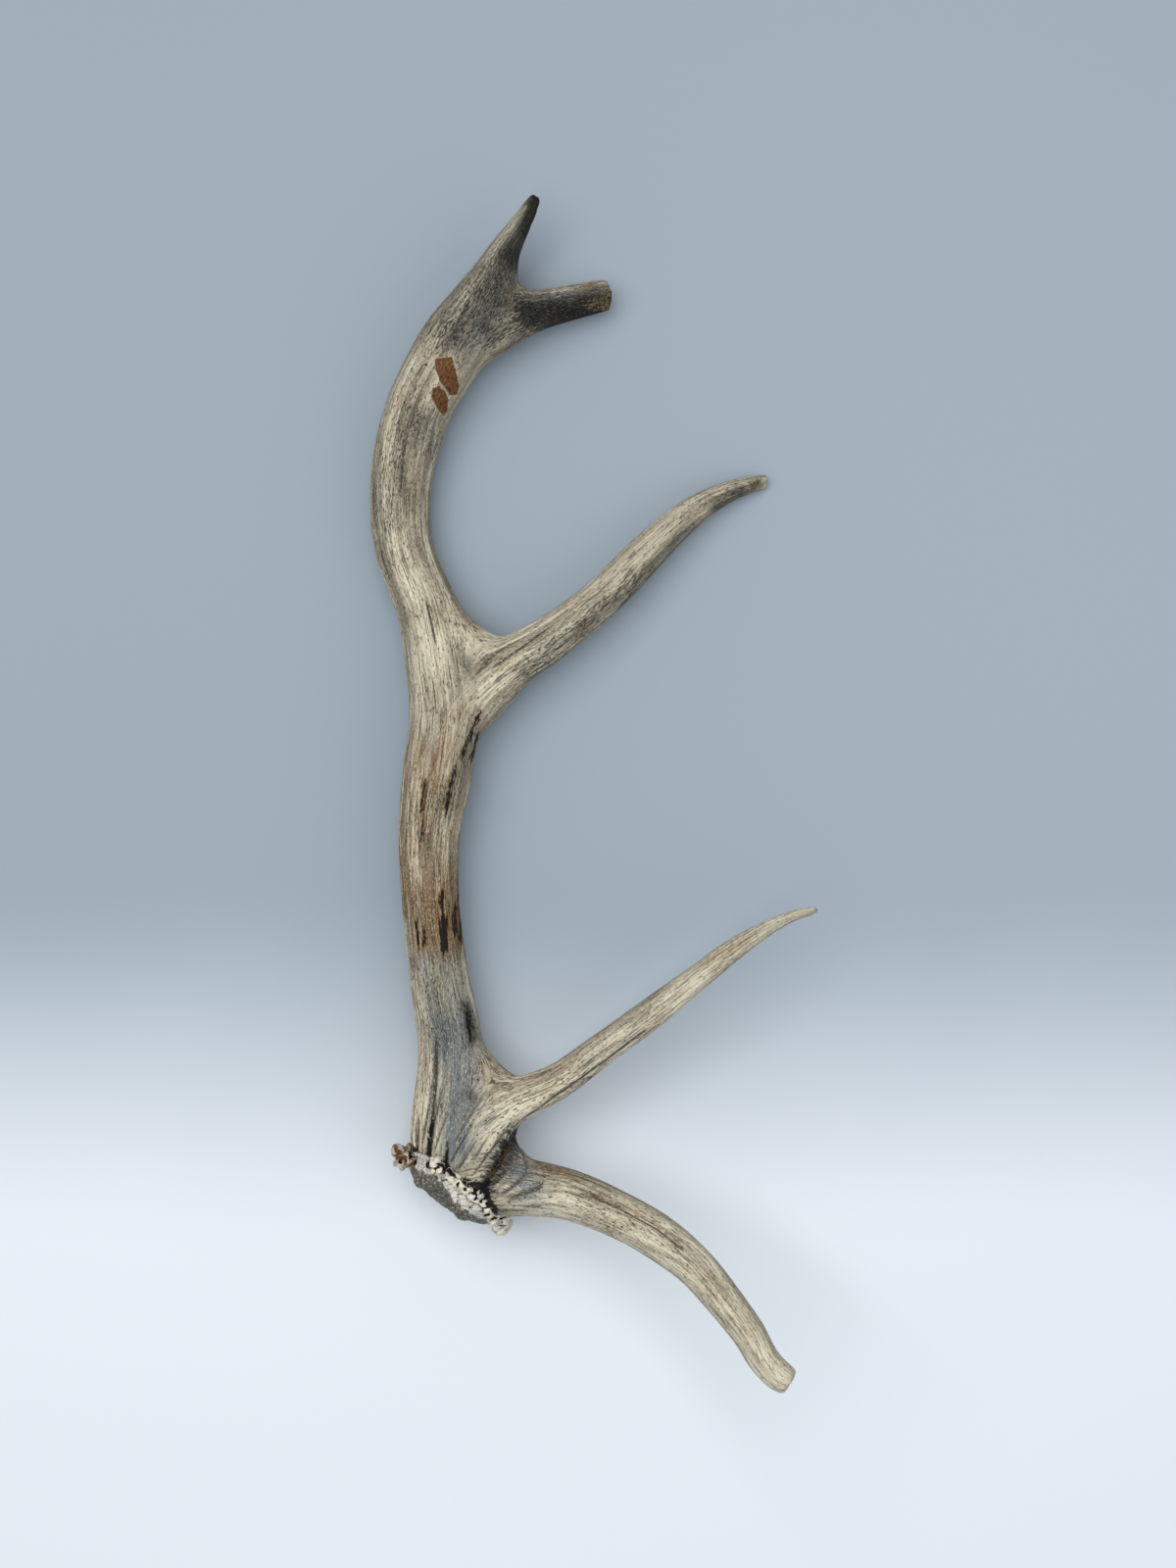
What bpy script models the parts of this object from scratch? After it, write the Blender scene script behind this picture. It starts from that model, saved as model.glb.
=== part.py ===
"""A shed deer antler, lying on its burr, the bend of its beam and the tip of its third tine.

One grown branching thing, split at its main forks into two lengths of beam and five tines.
Sizes below are in millimetres. +Z is up, +Y runs from the burr to the crown, and the origin is on the
surface it lies on, under the middle of its box.
"""

import math
import random

import bmesh
import bpy
from mathutils import Matrix, Vector

MM = 0.001
GAP = 0.3  # left between two pieces where the antler is split

# Each branch is a list of (x, y, z, radius) along its middle, from its root to its tip.
BEAM = [
    (-84, -243, 37, 20), (-85, -220, 35, 20.5), (-83.5, -191, 32, 19.4), (-82, -162, 29.5, 18.9),
    (-89, -121, 27, 17.4), (-94, -79, 26.5, 17.4), (-95, -34, 27, 18.5), (-89.8, 4, 28, 20.8),
    (-86.5, 35, 28, 20.6), (-90, 64, 27, 19.4), (-97.5, 99, 24, 17.8), (-110.3, 134, 20.3, 17.8),
    (-112.8, 167, 18, 18.6), (-108.7, 196, 19.6, 19.6), (-101, 220, 22, 20), (-90.5, 239, 24, 21),
    (-75.5, 262, 26.5, 21.3),
]
BROW_TINE = [
    (-80, -244, 41, 19), (-57, -240, 46, 20), (-33, -241, 54, 16.4), (-13, -243, 63, 15),
    (13, -251, 76, 13.8), (42, -265, 92, 13.2), (61, -279, 104, 11.8), (76, -296, 114, 10.8),
    (88, -311, 121, 9.7), (98, -328, 128, 8.4), (106, -335, 131, 7.4), (114, -339, 133, 6.4),
]
BEZ_TINE = [
    (-82, -231, 36, 17), (-66, -208, 37, 16.5), (-45, -193, 39, 12.9), (-20, -181, 42, 10.8),
    (4, -163, 46, 9.9), (35, -140, 51, 9.4), (59, -121, 55, 7.9), (89, -98, 60, 6.5),
    (105, -88, 62, 4.8), (119, -81.5, 63.5, 3.6), (132, -78, 64.5, 2.6),
]
TREZ_TINE = [
    (-88, 12, 28, 17.5), (-73, 43, 27, 17), (-51, 63, 26, 16), (-27, 78, 24.5, 14.2),
    (-7, 93, 23, 12.9), (12, 109, 21, 12.6), (36, 134, 17.5, 11.4), (53, 150, 14.8, 9.9),
    (69, 162, 12, 8.1), (88, 171.5, 6.8, 5.8), (107, 177, 2.8, 3.8),
]
CROWN_REAR_TINE = [
    (-84, 248, 26, 17), (-69, 273, 27.5, 19.2), (-57.5, 291, 29, 15.5), (-51.5, 308, 31, 10.2),
    (-42, 324, 33, 7), (-34, 337, 34.5, 4.8), (-30.5, 344, 35, 3.2),
]
CROWN_FRONT_TINE = [
    (-84, 246, 25, 16), (-63, 261, 24, 16), (-46, 270, 23, 14.2), (-33, 275, 21, 12.4),
    (-13, 280.5, 17.5, 10.8), (12, 287, 13.5, 9.6),
]
# Where two branches part, the bone fills the crotch between them.
WEBS = [
    [(-101, 122, 23, 12), (-79, 83, 26, 13), (-53, 67, 26, 13.5), (-16, 85, 24, 9)],
    [(-90, 14, 28, 13), (-69, 37, 27, 13), (-42, 62, 25, 10)],
    [(-84, -146, 30, 13), (-68.5, -175.5, 34, 14.5), (-45, -188.5, 39, 11.5), (-22, -179, 42, 8)],
    [(-54, -206, 40, 12), (-57, -220, 42, 14), (-44, -233, 48, 13)],
    [(-67, 296, 29, 9), (-50, 281, 26, 12), (-30, 277, 21, 9)],
]

# The burr is the ring of knobs round the foot. Its axis points up the beam.
BURR_CENTRE = (-81, -245, 34.6)
BURR_AXIS = (0.56, 0.77, -0.31)
BURR_RADII = (37, 31)
BURR_KNOBS = 22
KNOB_RADIUS = (4.2, 6.2)
FLARE_LENGTH = 34
SEAL_RADII = (31, 26)
SEAL_DEPTH = 9

# Each split is (middle of its flat, direction towards the tip, half width and length of what it takes off).
SPLITS = {
    "brow_tine": ((-37.5, -286, 52), (0.93, -0.05, 0.36), 72, 190),
    "bez_tine": ((-34, -187, 40), (0.84, 0.52, 0.13), 22, 200),
    "trez_tine": ((-40, 70, 25), (0.82, 0.57, -0.08), 42, 200),
    "upper_beam": ((-97, 94, 24), (-0.29, 0.95, -0.09), 175, 290),
    "crown_front_tine": ((-30, 276, 20), (0.95, 0.25, -0.17), 30, 80),
    "crown_rear_tine": ((-56, 299, 30), (0.36, 0.93, 0.08), 24, 80),
}
# What else is taken off a piece that its own split leaves on.
ALSO_CUT = {
    "upper_beam": ["trez_tine", "crown_front_tine", "crown_rear_tine"],
    "lower_beam": ["brow_tine", "bez_tine", "trez_tine", "upper_beam"],
}

VOXEL = 2.2
SMOOTHING = 8
KEEP_RATIO = 0.11

COLOURS = {
    "lower_beam": (0.48, 0.42, 0.32),
    "upper_beam": (0.50, 0.46, 0.38),
    "brow_tine": (0.58, 0.54, 0.46),
    "bez_tine": (0.56, 0.52, 0.44),
    "trez_tine": (0.50, 0.46, 0.37),
    "crown_front_tine": (0.32, 0.31, 0.27),
    "crown_rear_tine": (0.36, 0.35, 0.30),
}


def clear_scene():
    for thing in list(bpy.data.objects):
        bpy.data.objects.remove(thing)


def new_collection(name):
    made = bpy.data.collections.new(name)
    bpy.context.scene.collection.children.link(made)
    return made


def evaluated_mesh(thing):
    graph = bpy.context.evaluated_depsgraph_get()
    return bpy.data.meshes.new_from_object(thing.evaluated_get(graph))


def branch_mesh(name, points):
    """A closed tube through the points, as thick as each says."""
    data = bpy.data.curves.new(name, "CURVE")
    data.dimensions = "3D"
    data.bevel_depth = MM
    data.bevel_resolution = 4
    data.resolution_u = 5
    data.use_fill_caps = True
    spline = data.splines.new("BEZIER")
    spline.radius_interpolation = "EASE"
    spline.bezier_points.add(len(points) - 1)
    for knot, (x, y, z, radius) in zip(spline.bezier_points, points):
        knot.co = Vector((x, y, z)) * MM
        knot.radius = radius
        knot.handle_left_type = "AUTO"
        knot.handle_right_type = "AUTO"
    curve = bpy.data.objects.new(name, data)
    bpy.context.scene.collection.objects.link(curve)
    mesh = evaluated_mesh(curve)
    bpy.data.objects.remove(curve)
    return mesh


def facing(point, direction):
    """The place whose own Z runs along direction."""
    turn = Vector(direction).normalized().to_track_quat("Z", "Y")
    return Matrix.Translation(Vector(point) * MM) @ turn.to_matrix().to_4x4()


def add_burr(mesh):
    """The flared foot of the beam, the knobs round it and the rounded seal below."""
    foot = facing(BURR_CENTRE, BURR_AXIS)
    oval = Matrix.Diagonal((SEAL_RADII[0] * MM, SEAL_RADII[1] * MM, MM, 1))
    bmesh.ops.create_cone(
        mesh,
        cap_ends=True,
        segments=40,
        radius1=1,
        radius2=BEAM[1][3] / SEAL_RADII[1],
        depth=FLARE_LENGTH,
        matrix=foot @ oval @ Matrix.Translation((0, 0, FLARE_LENGTH / 2)),
    )
    dome = oval @ Matrix.Diagonal((1, 1, SEAL_DEPTH, 1))
    bmesh.ops.create_uvsphere(mesh, u_segments=32, v_segments=16, radius=1, matrix=foot @ dome)
    chance = random.Random(4)
    for k in range(BURR_KNOBS):
        size = chance.uniform(*KNOB_RADIUS)
        angle = math.tau * k / BURR_KNOBS
        along, across = BURR_RADII[0] * math.cos(angle), BURR_RADII[1] * math.sin(angle)
        place = Matrix.Translation(Vector((along, across, chance.uniform(-1.5, 2.5))) * MM)
        bmesh.ops.create_icosphere(mesh, subdivisions=2, radius=size * MM, matrix=foot @ place)


def grown_mesh():
    """The whole antler as one closed, blended surface."""
    joined = bmesh.new()
    tines = [BROW_TINE, BEZ_TINE, TREZ_TINE, CROWN_REAR_TINE, CROWN_FRONT_TINE]
    for points in [BEAM, *tines, *WEBS]:
        tube = branch_mesh("branch", points)
        joined.from_mesh(tube)
        bpy.data.meshes.remove(tube)
    add_burr(joined)
    bmesh.ops.remove_doubles(joined, verts=joined.verts, dist=0.00001)
    mesh = bpy.data.meshes.new("antler")
    joined.to_mesh(mesh)
    joined.free()
    whole = bpy.data.objects.new("antler", mesh)
    bpy.context.scene.collection.objects.link(whole)
    blend = whole.modifiers.new("Blend", "REMESH")
    blend.mode = "VOXEL"
    blend.voxel_size = VOXEL * MM
    soften = whole.modifiers.new("Soften", "SMOOTH")
    soften.factor = 0.5
    soften.iterations = SMOOTHING
    thin = whole.modifiers.new("Thin", "DECIMATE")
    thin.ratio = KEEP_RATIO
    result = evaluated_mesh(whole)
    bpy.data.objects.remove(whole)
    settle(result)
    return result


def settle(mesh):
    """Puts the lowest point on the surface and the middle of the box over the origin."""
    corners = [vertex.co for vertex in mesh.vertices]
    low = Vector([min(corner[axis] for corner in corners) for axis in range(3)])
    high = Vector([max(corner[axis] for corner in corners) for axis in range(3)])
    middle = (low + high) / 2
    mesh.transform(Matrix.Translation((-middle.x, -middle.y, -low.z)))


def cutter(name, collection, start):
    """A box over everything past the split, beginning this far along its direction."""
    point, direction, half_width, length = SPLITS[name]
    mesh = bpy.data.meshes.new("past_" + name)
    shape = bmesh.new()
    bmesh.ops.create_cube(shape, size=1)
    size = Matrix.Diagonal((2 * half_width * MM, 2 * half_width * MM, length * MM, 1))
    middle = Matrix.Translation((0, 0, (start + length / 2) * MM))
    shape.transform(facing(point, direction) @ middle @ size)
    shape.to_mesh(mesh)
    shape.free()
    box = bpy.data.objects.new("past_" + name, mesh)
    box.display_type = "WIRE"
    box.hide_render = True
    collection.objects.link(box)
    return box


def antler_material(name):
    material = bpy.data.materials.new(name)
    material.use_nodes = True
    shader = material.node_tree.nodes["Principled BSDF"]
    shader.inputs["Base Color"].default_value = (*COLOURS[name], 1)
    shader.inputs["Roughness"].default_value = 0.6
    shader.inputs["Metallic"].default_value = 0
    return material


def add_piece(name, grown, parts, keep, cuts):
    """One length of the antler: what is inside its own cutter, less what is inside the others."""
    piece = bpy.data.objects.new(name, grown.copy())
    piece.data.name = name
    piece.data.materials.clear()
    piece.data.materials.append(antler_material(name))
    piece.data.shade_smooth()
    parts.objects.link(piece)
    if name in keep:
        own = piece.modifiers.new("Keep", "BOOLEAN")
        own.operation = "INTERSECT"
        own.solver = "EXACT"
        own.object = keep[name]
    for other in ALSO_CUT.get(name, []):
        cut = piece.modifiers.new("Cut " + other, "BOOLEAN")
        cut.operation = "DIFFERENCE"
        cut.solver = "EXACT"
        cut.object = cuts[other]
    return piece


def main():
    clear_scene()
    parts = new_collection("deer_antler")
    cutters = new_collection("cutters")
    grown = grown_mesh()
    keep = {name: cutter(name, cutters, 0) for name in SPLITS}
    cuts = {name: cutter(name, cutters, -GAP) for name in SPLITS}
    for name in ("lower_beam", *SPLITS):
        add_piece(name, grown, parts, keep, cuts)
    bpy.data.meshes.remove(grown)


main()
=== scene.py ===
"""The look of a shed deer antler: its grown surface, its burr and seal, and the studio it lies in.

The antler is grown as one surface round the middle lines of its branches. Furrows, ridges and knobs are
real shape. Each point knows how far along which branch it lies, so the grain follows the beam out into the
tines. The surface is then parted at the main forks, like the construction model.
"""

import math

import bmesh
import bpy
import numpy as np
from bpy.props import FloatProperty, FloatVectorProperty, IntProperty, PointerProperty
from bpy.types import Operator, Panel, PropertyGroup
from mathutils import Matrix, Vector


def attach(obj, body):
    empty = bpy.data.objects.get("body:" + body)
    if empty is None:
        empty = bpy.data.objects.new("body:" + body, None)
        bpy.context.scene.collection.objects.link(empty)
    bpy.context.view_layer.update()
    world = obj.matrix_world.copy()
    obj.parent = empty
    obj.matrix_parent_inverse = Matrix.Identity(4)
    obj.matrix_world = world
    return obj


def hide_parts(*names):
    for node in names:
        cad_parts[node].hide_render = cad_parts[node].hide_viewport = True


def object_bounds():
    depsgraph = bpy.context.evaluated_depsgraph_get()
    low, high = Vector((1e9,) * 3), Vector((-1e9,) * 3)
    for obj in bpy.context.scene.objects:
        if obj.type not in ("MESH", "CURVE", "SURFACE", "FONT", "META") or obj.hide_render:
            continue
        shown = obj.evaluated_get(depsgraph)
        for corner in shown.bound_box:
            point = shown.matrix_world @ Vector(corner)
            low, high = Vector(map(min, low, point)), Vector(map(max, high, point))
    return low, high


bl_info = {
    "name": "Shed Deer Antler",
    "version": (1, 0, 0),
    "blender": (4, 5, 0),
    "location": "View3D > Sidebar > Antler",
    "description": "Grows a weathered shed deer antler and the studio it lies in",
    "category": "Add Mesh",
}

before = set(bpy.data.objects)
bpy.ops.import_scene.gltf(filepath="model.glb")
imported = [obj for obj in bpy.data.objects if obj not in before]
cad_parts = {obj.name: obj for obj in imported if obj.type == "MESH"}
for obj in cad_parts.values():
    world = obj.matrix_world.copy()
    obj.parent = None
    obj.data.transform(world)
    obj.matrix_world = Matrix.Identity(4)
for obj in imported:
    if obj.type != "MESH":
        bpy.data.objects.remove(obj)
CAD_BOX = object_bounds()

MM = 0.001

# Middle lines of the branches in millimetres, as (x, y, z, radius) from root to tip.
BEAM = [
    (-84, -243, 37, 20), (-85, -220, 35, 20.5), (-83.5, -191, 32, 19.4), (-82, -162, 29.5, 18.9),
    (-89, -121, 27, 17.4), (-94, -79, 26.5, 17.4), (-95, -34, 27, 18.5), (-89.8, 4, 28, 20.8),
    (-86.5, 35, 28, 20.6), (-90, 64, 27, 19.4), (-97.5, 99, 24, 17.8), (-110.3, 134, 20.3, 17.8),
    (-112.8, 167, 18, 18.6), (-108.7, 196, 19.6, 19.6), (-101, 220, 22, 20), (-90.5, 239, 24, 21),
    (-78, 259, 26.2, 21.2), (-67, 275, 28, 18.8), (-57.5, 292, 29.5, 15.2), (-51, 308, 31, 10.2),
    (-42, 323, 33, 7), (-35, 334.5, 34.5, 5), (-31.6, 341, 35, 3.6),
]
BROW_TINE = [
    (-80, -244, 41, 19), (-57, -240, 46, 20), (-33, -241, 54, 16.4), (-13, -243, 63, 15),
    (13, -251, 76, 13.8), (42, -265, 92, 13.2), (61, -279, 104, 11.8), (76, -296, 114, 10.8),
    (88, -311, 121, 10), (98, -327, 127.5, 9.2), (104.5, -333, 130.5, 9), (110.5, -336.5, 132, 8),
]
BEZ_TINE = [
    (-82, -231, 36, 17), (-66, -208, 37, 16.5), (-45, -193, 39, 12.9), (-20, -181, 42, 10.8),
    (4, -163, 46, 9.9), (35, -140, 51, 9.4), (59, -121, 55, 7.9), (89, -98, 60, 6.5),
    (105, -88, 62, 4.8), (119, -81.5, 63.5, 3.6), (132, -78, 64.5, 2.6),
]
TREZ_TINE = [
    (-88, 12, 28, 17.5), (-73, 43, 27, 17), (-51, 63, 26, 16), (-27, 78, 24.5, 14.2),
    (-7, 93, 23, 12.9), (12, 109, 21, 12.6), (36, 134, 17.5, 11.4), (53, 150, 14.8, 9.9),
    (69, 162, 12, 8.2), (88, 171.3, 7.2, 6.3), (106.5, 176.5, 3.6, 4.4),
]
CROWN_FRONT_TINE = [
    (-84, 246, 25, 16), (-63, 261, 24, 16), (-46, 270, 23, 14.2), (-33, 275, 21, 12.4),
    (-13, 280.5, 17.5, 10.8), (12, 287, 13.5, 9.6),
]
# Bone that fills the crotches between two branches.
WEBS = [
    [(-101, 122, 23, 12), (-79, 83, 26, 13), (-53, 67, 26, 13.5), (-16, 85, 24, 9)],
    [(-90, 14, 28, 13), (-69, 37, 27, 13), (-42, 62, 25, 10)],
    [(-84, -146, 30, 13), (-68.5, -175.5, 34, 14.5), (-45, -188.5, 39, 11.5), (-22, -179, 42, 8)],
    [(-54, -206, 40, 12), (-57, -220, 42, 14), (-44, -233, 48, 13)],
    [(-67, 296, 29, 9), (-50, 281, 26, 12), (-30, 277, 21, 9)],
]

# The burr: its middle, the way up the beam from it, and the oval that its knobs stand on.
BURR_CENTRE = (-81, -245, 34.6)
BURR_AXIS = (0.54, 0.74, -0.40)
BURR_RADII = (37, 31)
FLARE_LENGTH = 34
# The knobs of the burr's upper side, from end to end over the brow tine's root:
# (middle, radius).
UPPER_KNOBS = [
    ((-112.8, -221.5, 40), 4.5), ((-113, -228, 36), 2.9), ((-109.5, -230, 38), 2.7), ((-106, -227, 46), 3.0),
    ((-107.5, -223.5, 46), 2.5), ((-92.5, -225.5, 60), 2.8), ((-89, -224.5, 61.5), 3.0),
    ((-86.5, -228.5, 61), 2.7), ((-90.5, -229, 59.5), 2.3), ((-82, -230.5, 63.5), 2.6),
    ((-79.5, -233, 64.5), 2.4), ((-77, -235, 65), 2.8), ((-74, -238, 65.5), 2.5), ((-70.5, -241, 65), 2.7),
    ((-67.5, -243.5, 64), 3.0), ((-64.5, -245, 63.5), 2.5), ((-62.5, -242.5, 65), 2.7),
    ((-61.5, -248.5, 61.5), 2.2), ((-59.5, -252.5, 59), 2.3), ((-58, -256.5, 56), 2.2),
    ((-56, -260.5, 51.5), 2.4), ((-54.5, -264, 42), 3.2), ((-50, -262.5, 41), 3.0), ((-52, -267.5, 37), 3.4),
    ((-48.5, -266, 34), 3.0), ((-55.5, -266.5, 36), 2.6), ((-50.5, -270, 31), 2.6),
]
# The lower knobs' ring leans a little against the seal, so that the seal's lower edge stands free of them.
KNOB_CENTRE = (-80.4, -244.2, 30.9)
KNOB_AXIS = (0.557, 0.763, -0.327)
KNOB_START = math.radians(176)
KNOB_SWEEP = math.radians(188)

# Lumps on the knobs, the rim and the seal: (their size and rise, those of the finer ones, seed), in mm.
FOOT_LUMPS = ((2.8, 0.75, 1.5, 0.22, 61), (3.4, 0.6, 1.5, 0.25, 63), (2.4, 0.4, 1.4, 0.3, 65))

# Each parting is (middle of its flat, direction towards the tip, half width and length of what it parts).
PARTINGS = {
    "crown_front_tine": ((-30, 276, 20), (0.95, 0.25, -0.17), 30, 80),
    "crown_rear_tine": ((-56, 299, 30), (0.36, 0.93, 0.08), 24, 80),
    "trez_tine": ((-40, 70, 25), (0.82, 0.57, -0.08), 42, 200),
    "bez_tine": ((-34, -187, 40), (0.84, 0.52, 0.13), 22, 200),
    "brow_tine": ((-37.5, -286, 52), (0.93, -0.05, 0.36), 72, 190),
    "upper_beam": ((-97, 94, 24), (-0.29, 0.95, -0.09), 175, 290),
    "burr": ((-74, -235, 31), (-0.56, -0.77, 0.31), 62, 60),
}

# The tubes are blended coarsely, and the whole is then gone over with a fine mesh.
BLEND_VOXEL = 2.0
BLEND_SMOOTHING = 10
FINE_VOXEL = 0.81
FINE_SMOOTHING = 3

# The camera's height over the floor and how far it stands off the box's middle, in metres.
CAMERA_HEIGHT = 1.550
CAMERA_OFFSET = (-0.0013, -0.0059)
# Its lens and its sensor, in millimetres.
LENS_LENGTH = 58.95
SENSOR_WIDTH = 36
# The two soft boxes, in metres: (place, what it points at, its side, its share of the power, colour).
SOFT_LIGHTS = {
    "key": ((-0.45, 0.35, 1.80), (-0.03, 0.0, 0.0), 1.7, 1.0, (1.0, 0.99, 0.97)),
    "fill": ((1.1, -0.6, 1.3), (0.0, 0.0, 0.0), 1.4, 0.2, (0.96, 0.98, 1.0)),
}
FLOOR_HALF_WIDTH = 2.5

PIECES = [*PARTINGS, "lower_beam"]
FIELDS = (
    "grain_beam", "grain_side", "grain_brow", "grown_from", "stains", "relief", "marks", "foot", "finish",
)


# ------------------------------------------------------------------ settings

def length(name, description, value, most):
    """A setting of so many millimetres."""
    return FloatProperty(
        name=name, description=description, default=value * MM, min=0, max=most * MM, precision=5,
        unit="LENGTH",
    )


class AntlerShape(PropertyGroup):
    furrow_depth: length("Furrow depth", "Depth of the long furrows", 0.55, 3)
    fluting_depth: length("Fluting", "Height of the broad ridges along the beam", 0.75, 3)
    knobs: IntProperty(
        name="Knobs", description="Knobs along the burr's lower side", default=18, min=8, max=60,
    )
    knob_size: length("Knob size", "Radius of a middling knob of the burr", 3.0, 8)
    seal_depth: length("Seal depth", "How far the spongy seal bulges out of the burr", 9, 20)
    seed: IntProperty(name="Seed", description="Which antler of its kind this is", default=4)


def hex_colour(text):
    """A linear colour from an sRGB hex value."""
    channels = [int(text[i : i + 2], 16) / 255 for i in (1, 3, 5)]
    return tuple(c / 12.92 if c <= 0.04045 else ((c + 0.055) / 1.055) ** 2.4 for c in channels)


def colour(name, description, value):
    """A colour setting, its value an sRGB hex."""
    return FloatVectorProperty(
        name=name, description=description, default=hex_colour(value), size=3, min=0, max=1,
        subtype="COLOR",
    )


class AntlerColours(PropertyGroup):
    bone: colour("Bone", "Worn, sun-bleached outer bone", "#d6ceb6")
    shade: colour("Shade", "Older, duller bone between the ridges", "#777060")
    # Speckle is also laid as painted shade in the hollows and in the creases of the rim and the seal.
    speckle: colour("Speckle", "Fine dark streaks of dirt in the grain", "#33312b")
    brown: colour("Brown", "Bark stain rubbed into the beam", "#76562e")
    blue: colour("Blue", "Cool grey of the hollows", "#656c70")
    dark: colour("Dark", "Dark grey of the crown", "#152021")
    rust: colour("Rust", "The two rust-brown patches", "#5c3611")
    ochre: colour("Ochre", "Worn bone at the broken ends and between the knobs", "#71603f")
    # Black is also laid as painted shade in the furrows and in the gaps between the burr's knobs.
    black: colour("Black", "Deep furrows and cracks", "#070504")
    seal: colour("Seal", "Spongy bone of the seal", "#79766d")
    rim: colour("Rim", "Flaked chalky bone round the seal", "#cfccc2")


class AntlerStudio(PropertyGroup):
    floor_near: colour("Near floor", "The floor by the antler's foot", "#d7dee5")
    # The far floor's colour is painted shade in place of a wall swept up behind the crown.
    floor_far_shade: colour("Far floor", "The floor by the antler's crown", "#83919d")
    walls: colour("Walls", "The soft light that comes from all round", "#eef2f7")
    wall_glow: FloatProperty(
        name="Wall glow", description="Strength of the light from all round", default=0.52, min=0,
    )
    key_power: FloatProperty(
        name="Key light", description="Power of the big soft light", default=31, min=0, unit="POWER",
    )


# ------------------------------------------------------------------ middle lines and tubes

def sampled(points, spacing):
    """The smooth line through a branch's points, as (x, y, z, radius) rows, and how far along each lies."""
    knots = np.array(points, float)
    steps = np.linalg.norm(np.diff(knots[:, :3], axis=0), axis=1)
    at = np.concatenate([[0], np.cumsum(steps)])
    slopes = np.gradient(knots, at, axis=0)
    along = np.linspace(0, at[-1], max(2, round(at[-1] / spacing)) + 1)
    k = np.clip(np.searchsorted(at, along, side="right") - 1, 0, len(at) - 2)
    width = (at[k + 1] - at[k])[:, None]
    t = (along[:, None] - at[k][:, None]) / width
    line = (
        (1 + 2 * t) * (1 - t) ** 2 * knots[k]
        + t * (1 - t) ** 2 * width * slopes[k]
        + t ** 2 * (3 - 2 * t) * knots[k + 1]
        + t ** 2 * (t - 1) * width * slopes[k + 1]
    )
    return line, along


def evaluated_mesh(thing):
    """A plain mesh of an object as its modifiers leave it."""
    graph = bpy.context.evaluated_depsgraph_get()
    return bpy.data.meshes.new_from_object(thing.evaluated_get(graph), depsgraph=graph)


def working_object(name, data):
    """An object that is only there while a mesh is made from it."""
    thing = bpy.data.objects.new(name, data)
    bpy.context.scene.collection.objects.link(thing)
    return thing


def tube_mesh(points):
    """A closed tapering tube round a branch's middle line."""
    line, _ = sampled(points, 4)
    data = bpy.data.curves.new("branch", "CURVE")
    data.dimensions = "3D"
    data.bevel_depth = MM
    data.bevel_resolution = 6
    data.use_fill_caps = True
    spline = data.splines.new("POLY")
    spline.points.add(len(line) - 1)
    for point, (x, y, z, radius) in zip(spline.points, line):
        point.co = (x * MM, y * MM, z * MM, 1)
        point.radius = radius
    curve = working_object("branch", data)
    mesh = evaluated_mesh(curve)
    bpy.data.objects.remove(curve)
    return mesh


def facing(point, direction):
    """The place at point, in millimetres, whose own Z runs along direction."""
    turn = Vector(direction).normalized().to_track_quat("Z", "Y")
    return Matrix.Translation(Vector(point) * MM) @ turn.to_matrix().to_4x4()


def modified(mesh, *recipe):
    """The mesh after a chain of modifiers, each (kind, settings)."""
    thing = working_object("working", mesh)
    for kind, settings in recipe:
        modifier = thing.modifiers.new(kind, kind)
        for name, value in settings.items():
            setattr(modifier, name, value)
    result = evaluated_mesh(thing)
    bpy.data.objects.remove(thing)
    return result


def joined(meshes):
    """One mesh of several, with points that coincide made one."""
    shape = bmesh.new()
    for mesh in meshes:
        shape.from_mesh(mesh)
    bmesh.ops.remove_doubles(shape, verts=shape.verts, dist=0.01 * MM)
    result = bpy.data.meshes.new("joined")
    shape.to_mesh(result)
    shape.free()
    return result


# ------------------------------------------------------------------ node trees

def add(tree, kind, inputs=(), **settings):
    """Adds a node, with its settings, and gives its inputs values or links from other sockets."""
    node = tree.nodes.new(kind)
    for name, value in settings.items():
        setattr(node, name, value)
    for key, value in dict(inputs).items():
        if isinstance(value, bpy.types.NodeSocket):
            tree.links.new(value, node.inputs[key])
        else:
            node.inputs[key].default_value = value
    return node


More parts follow.
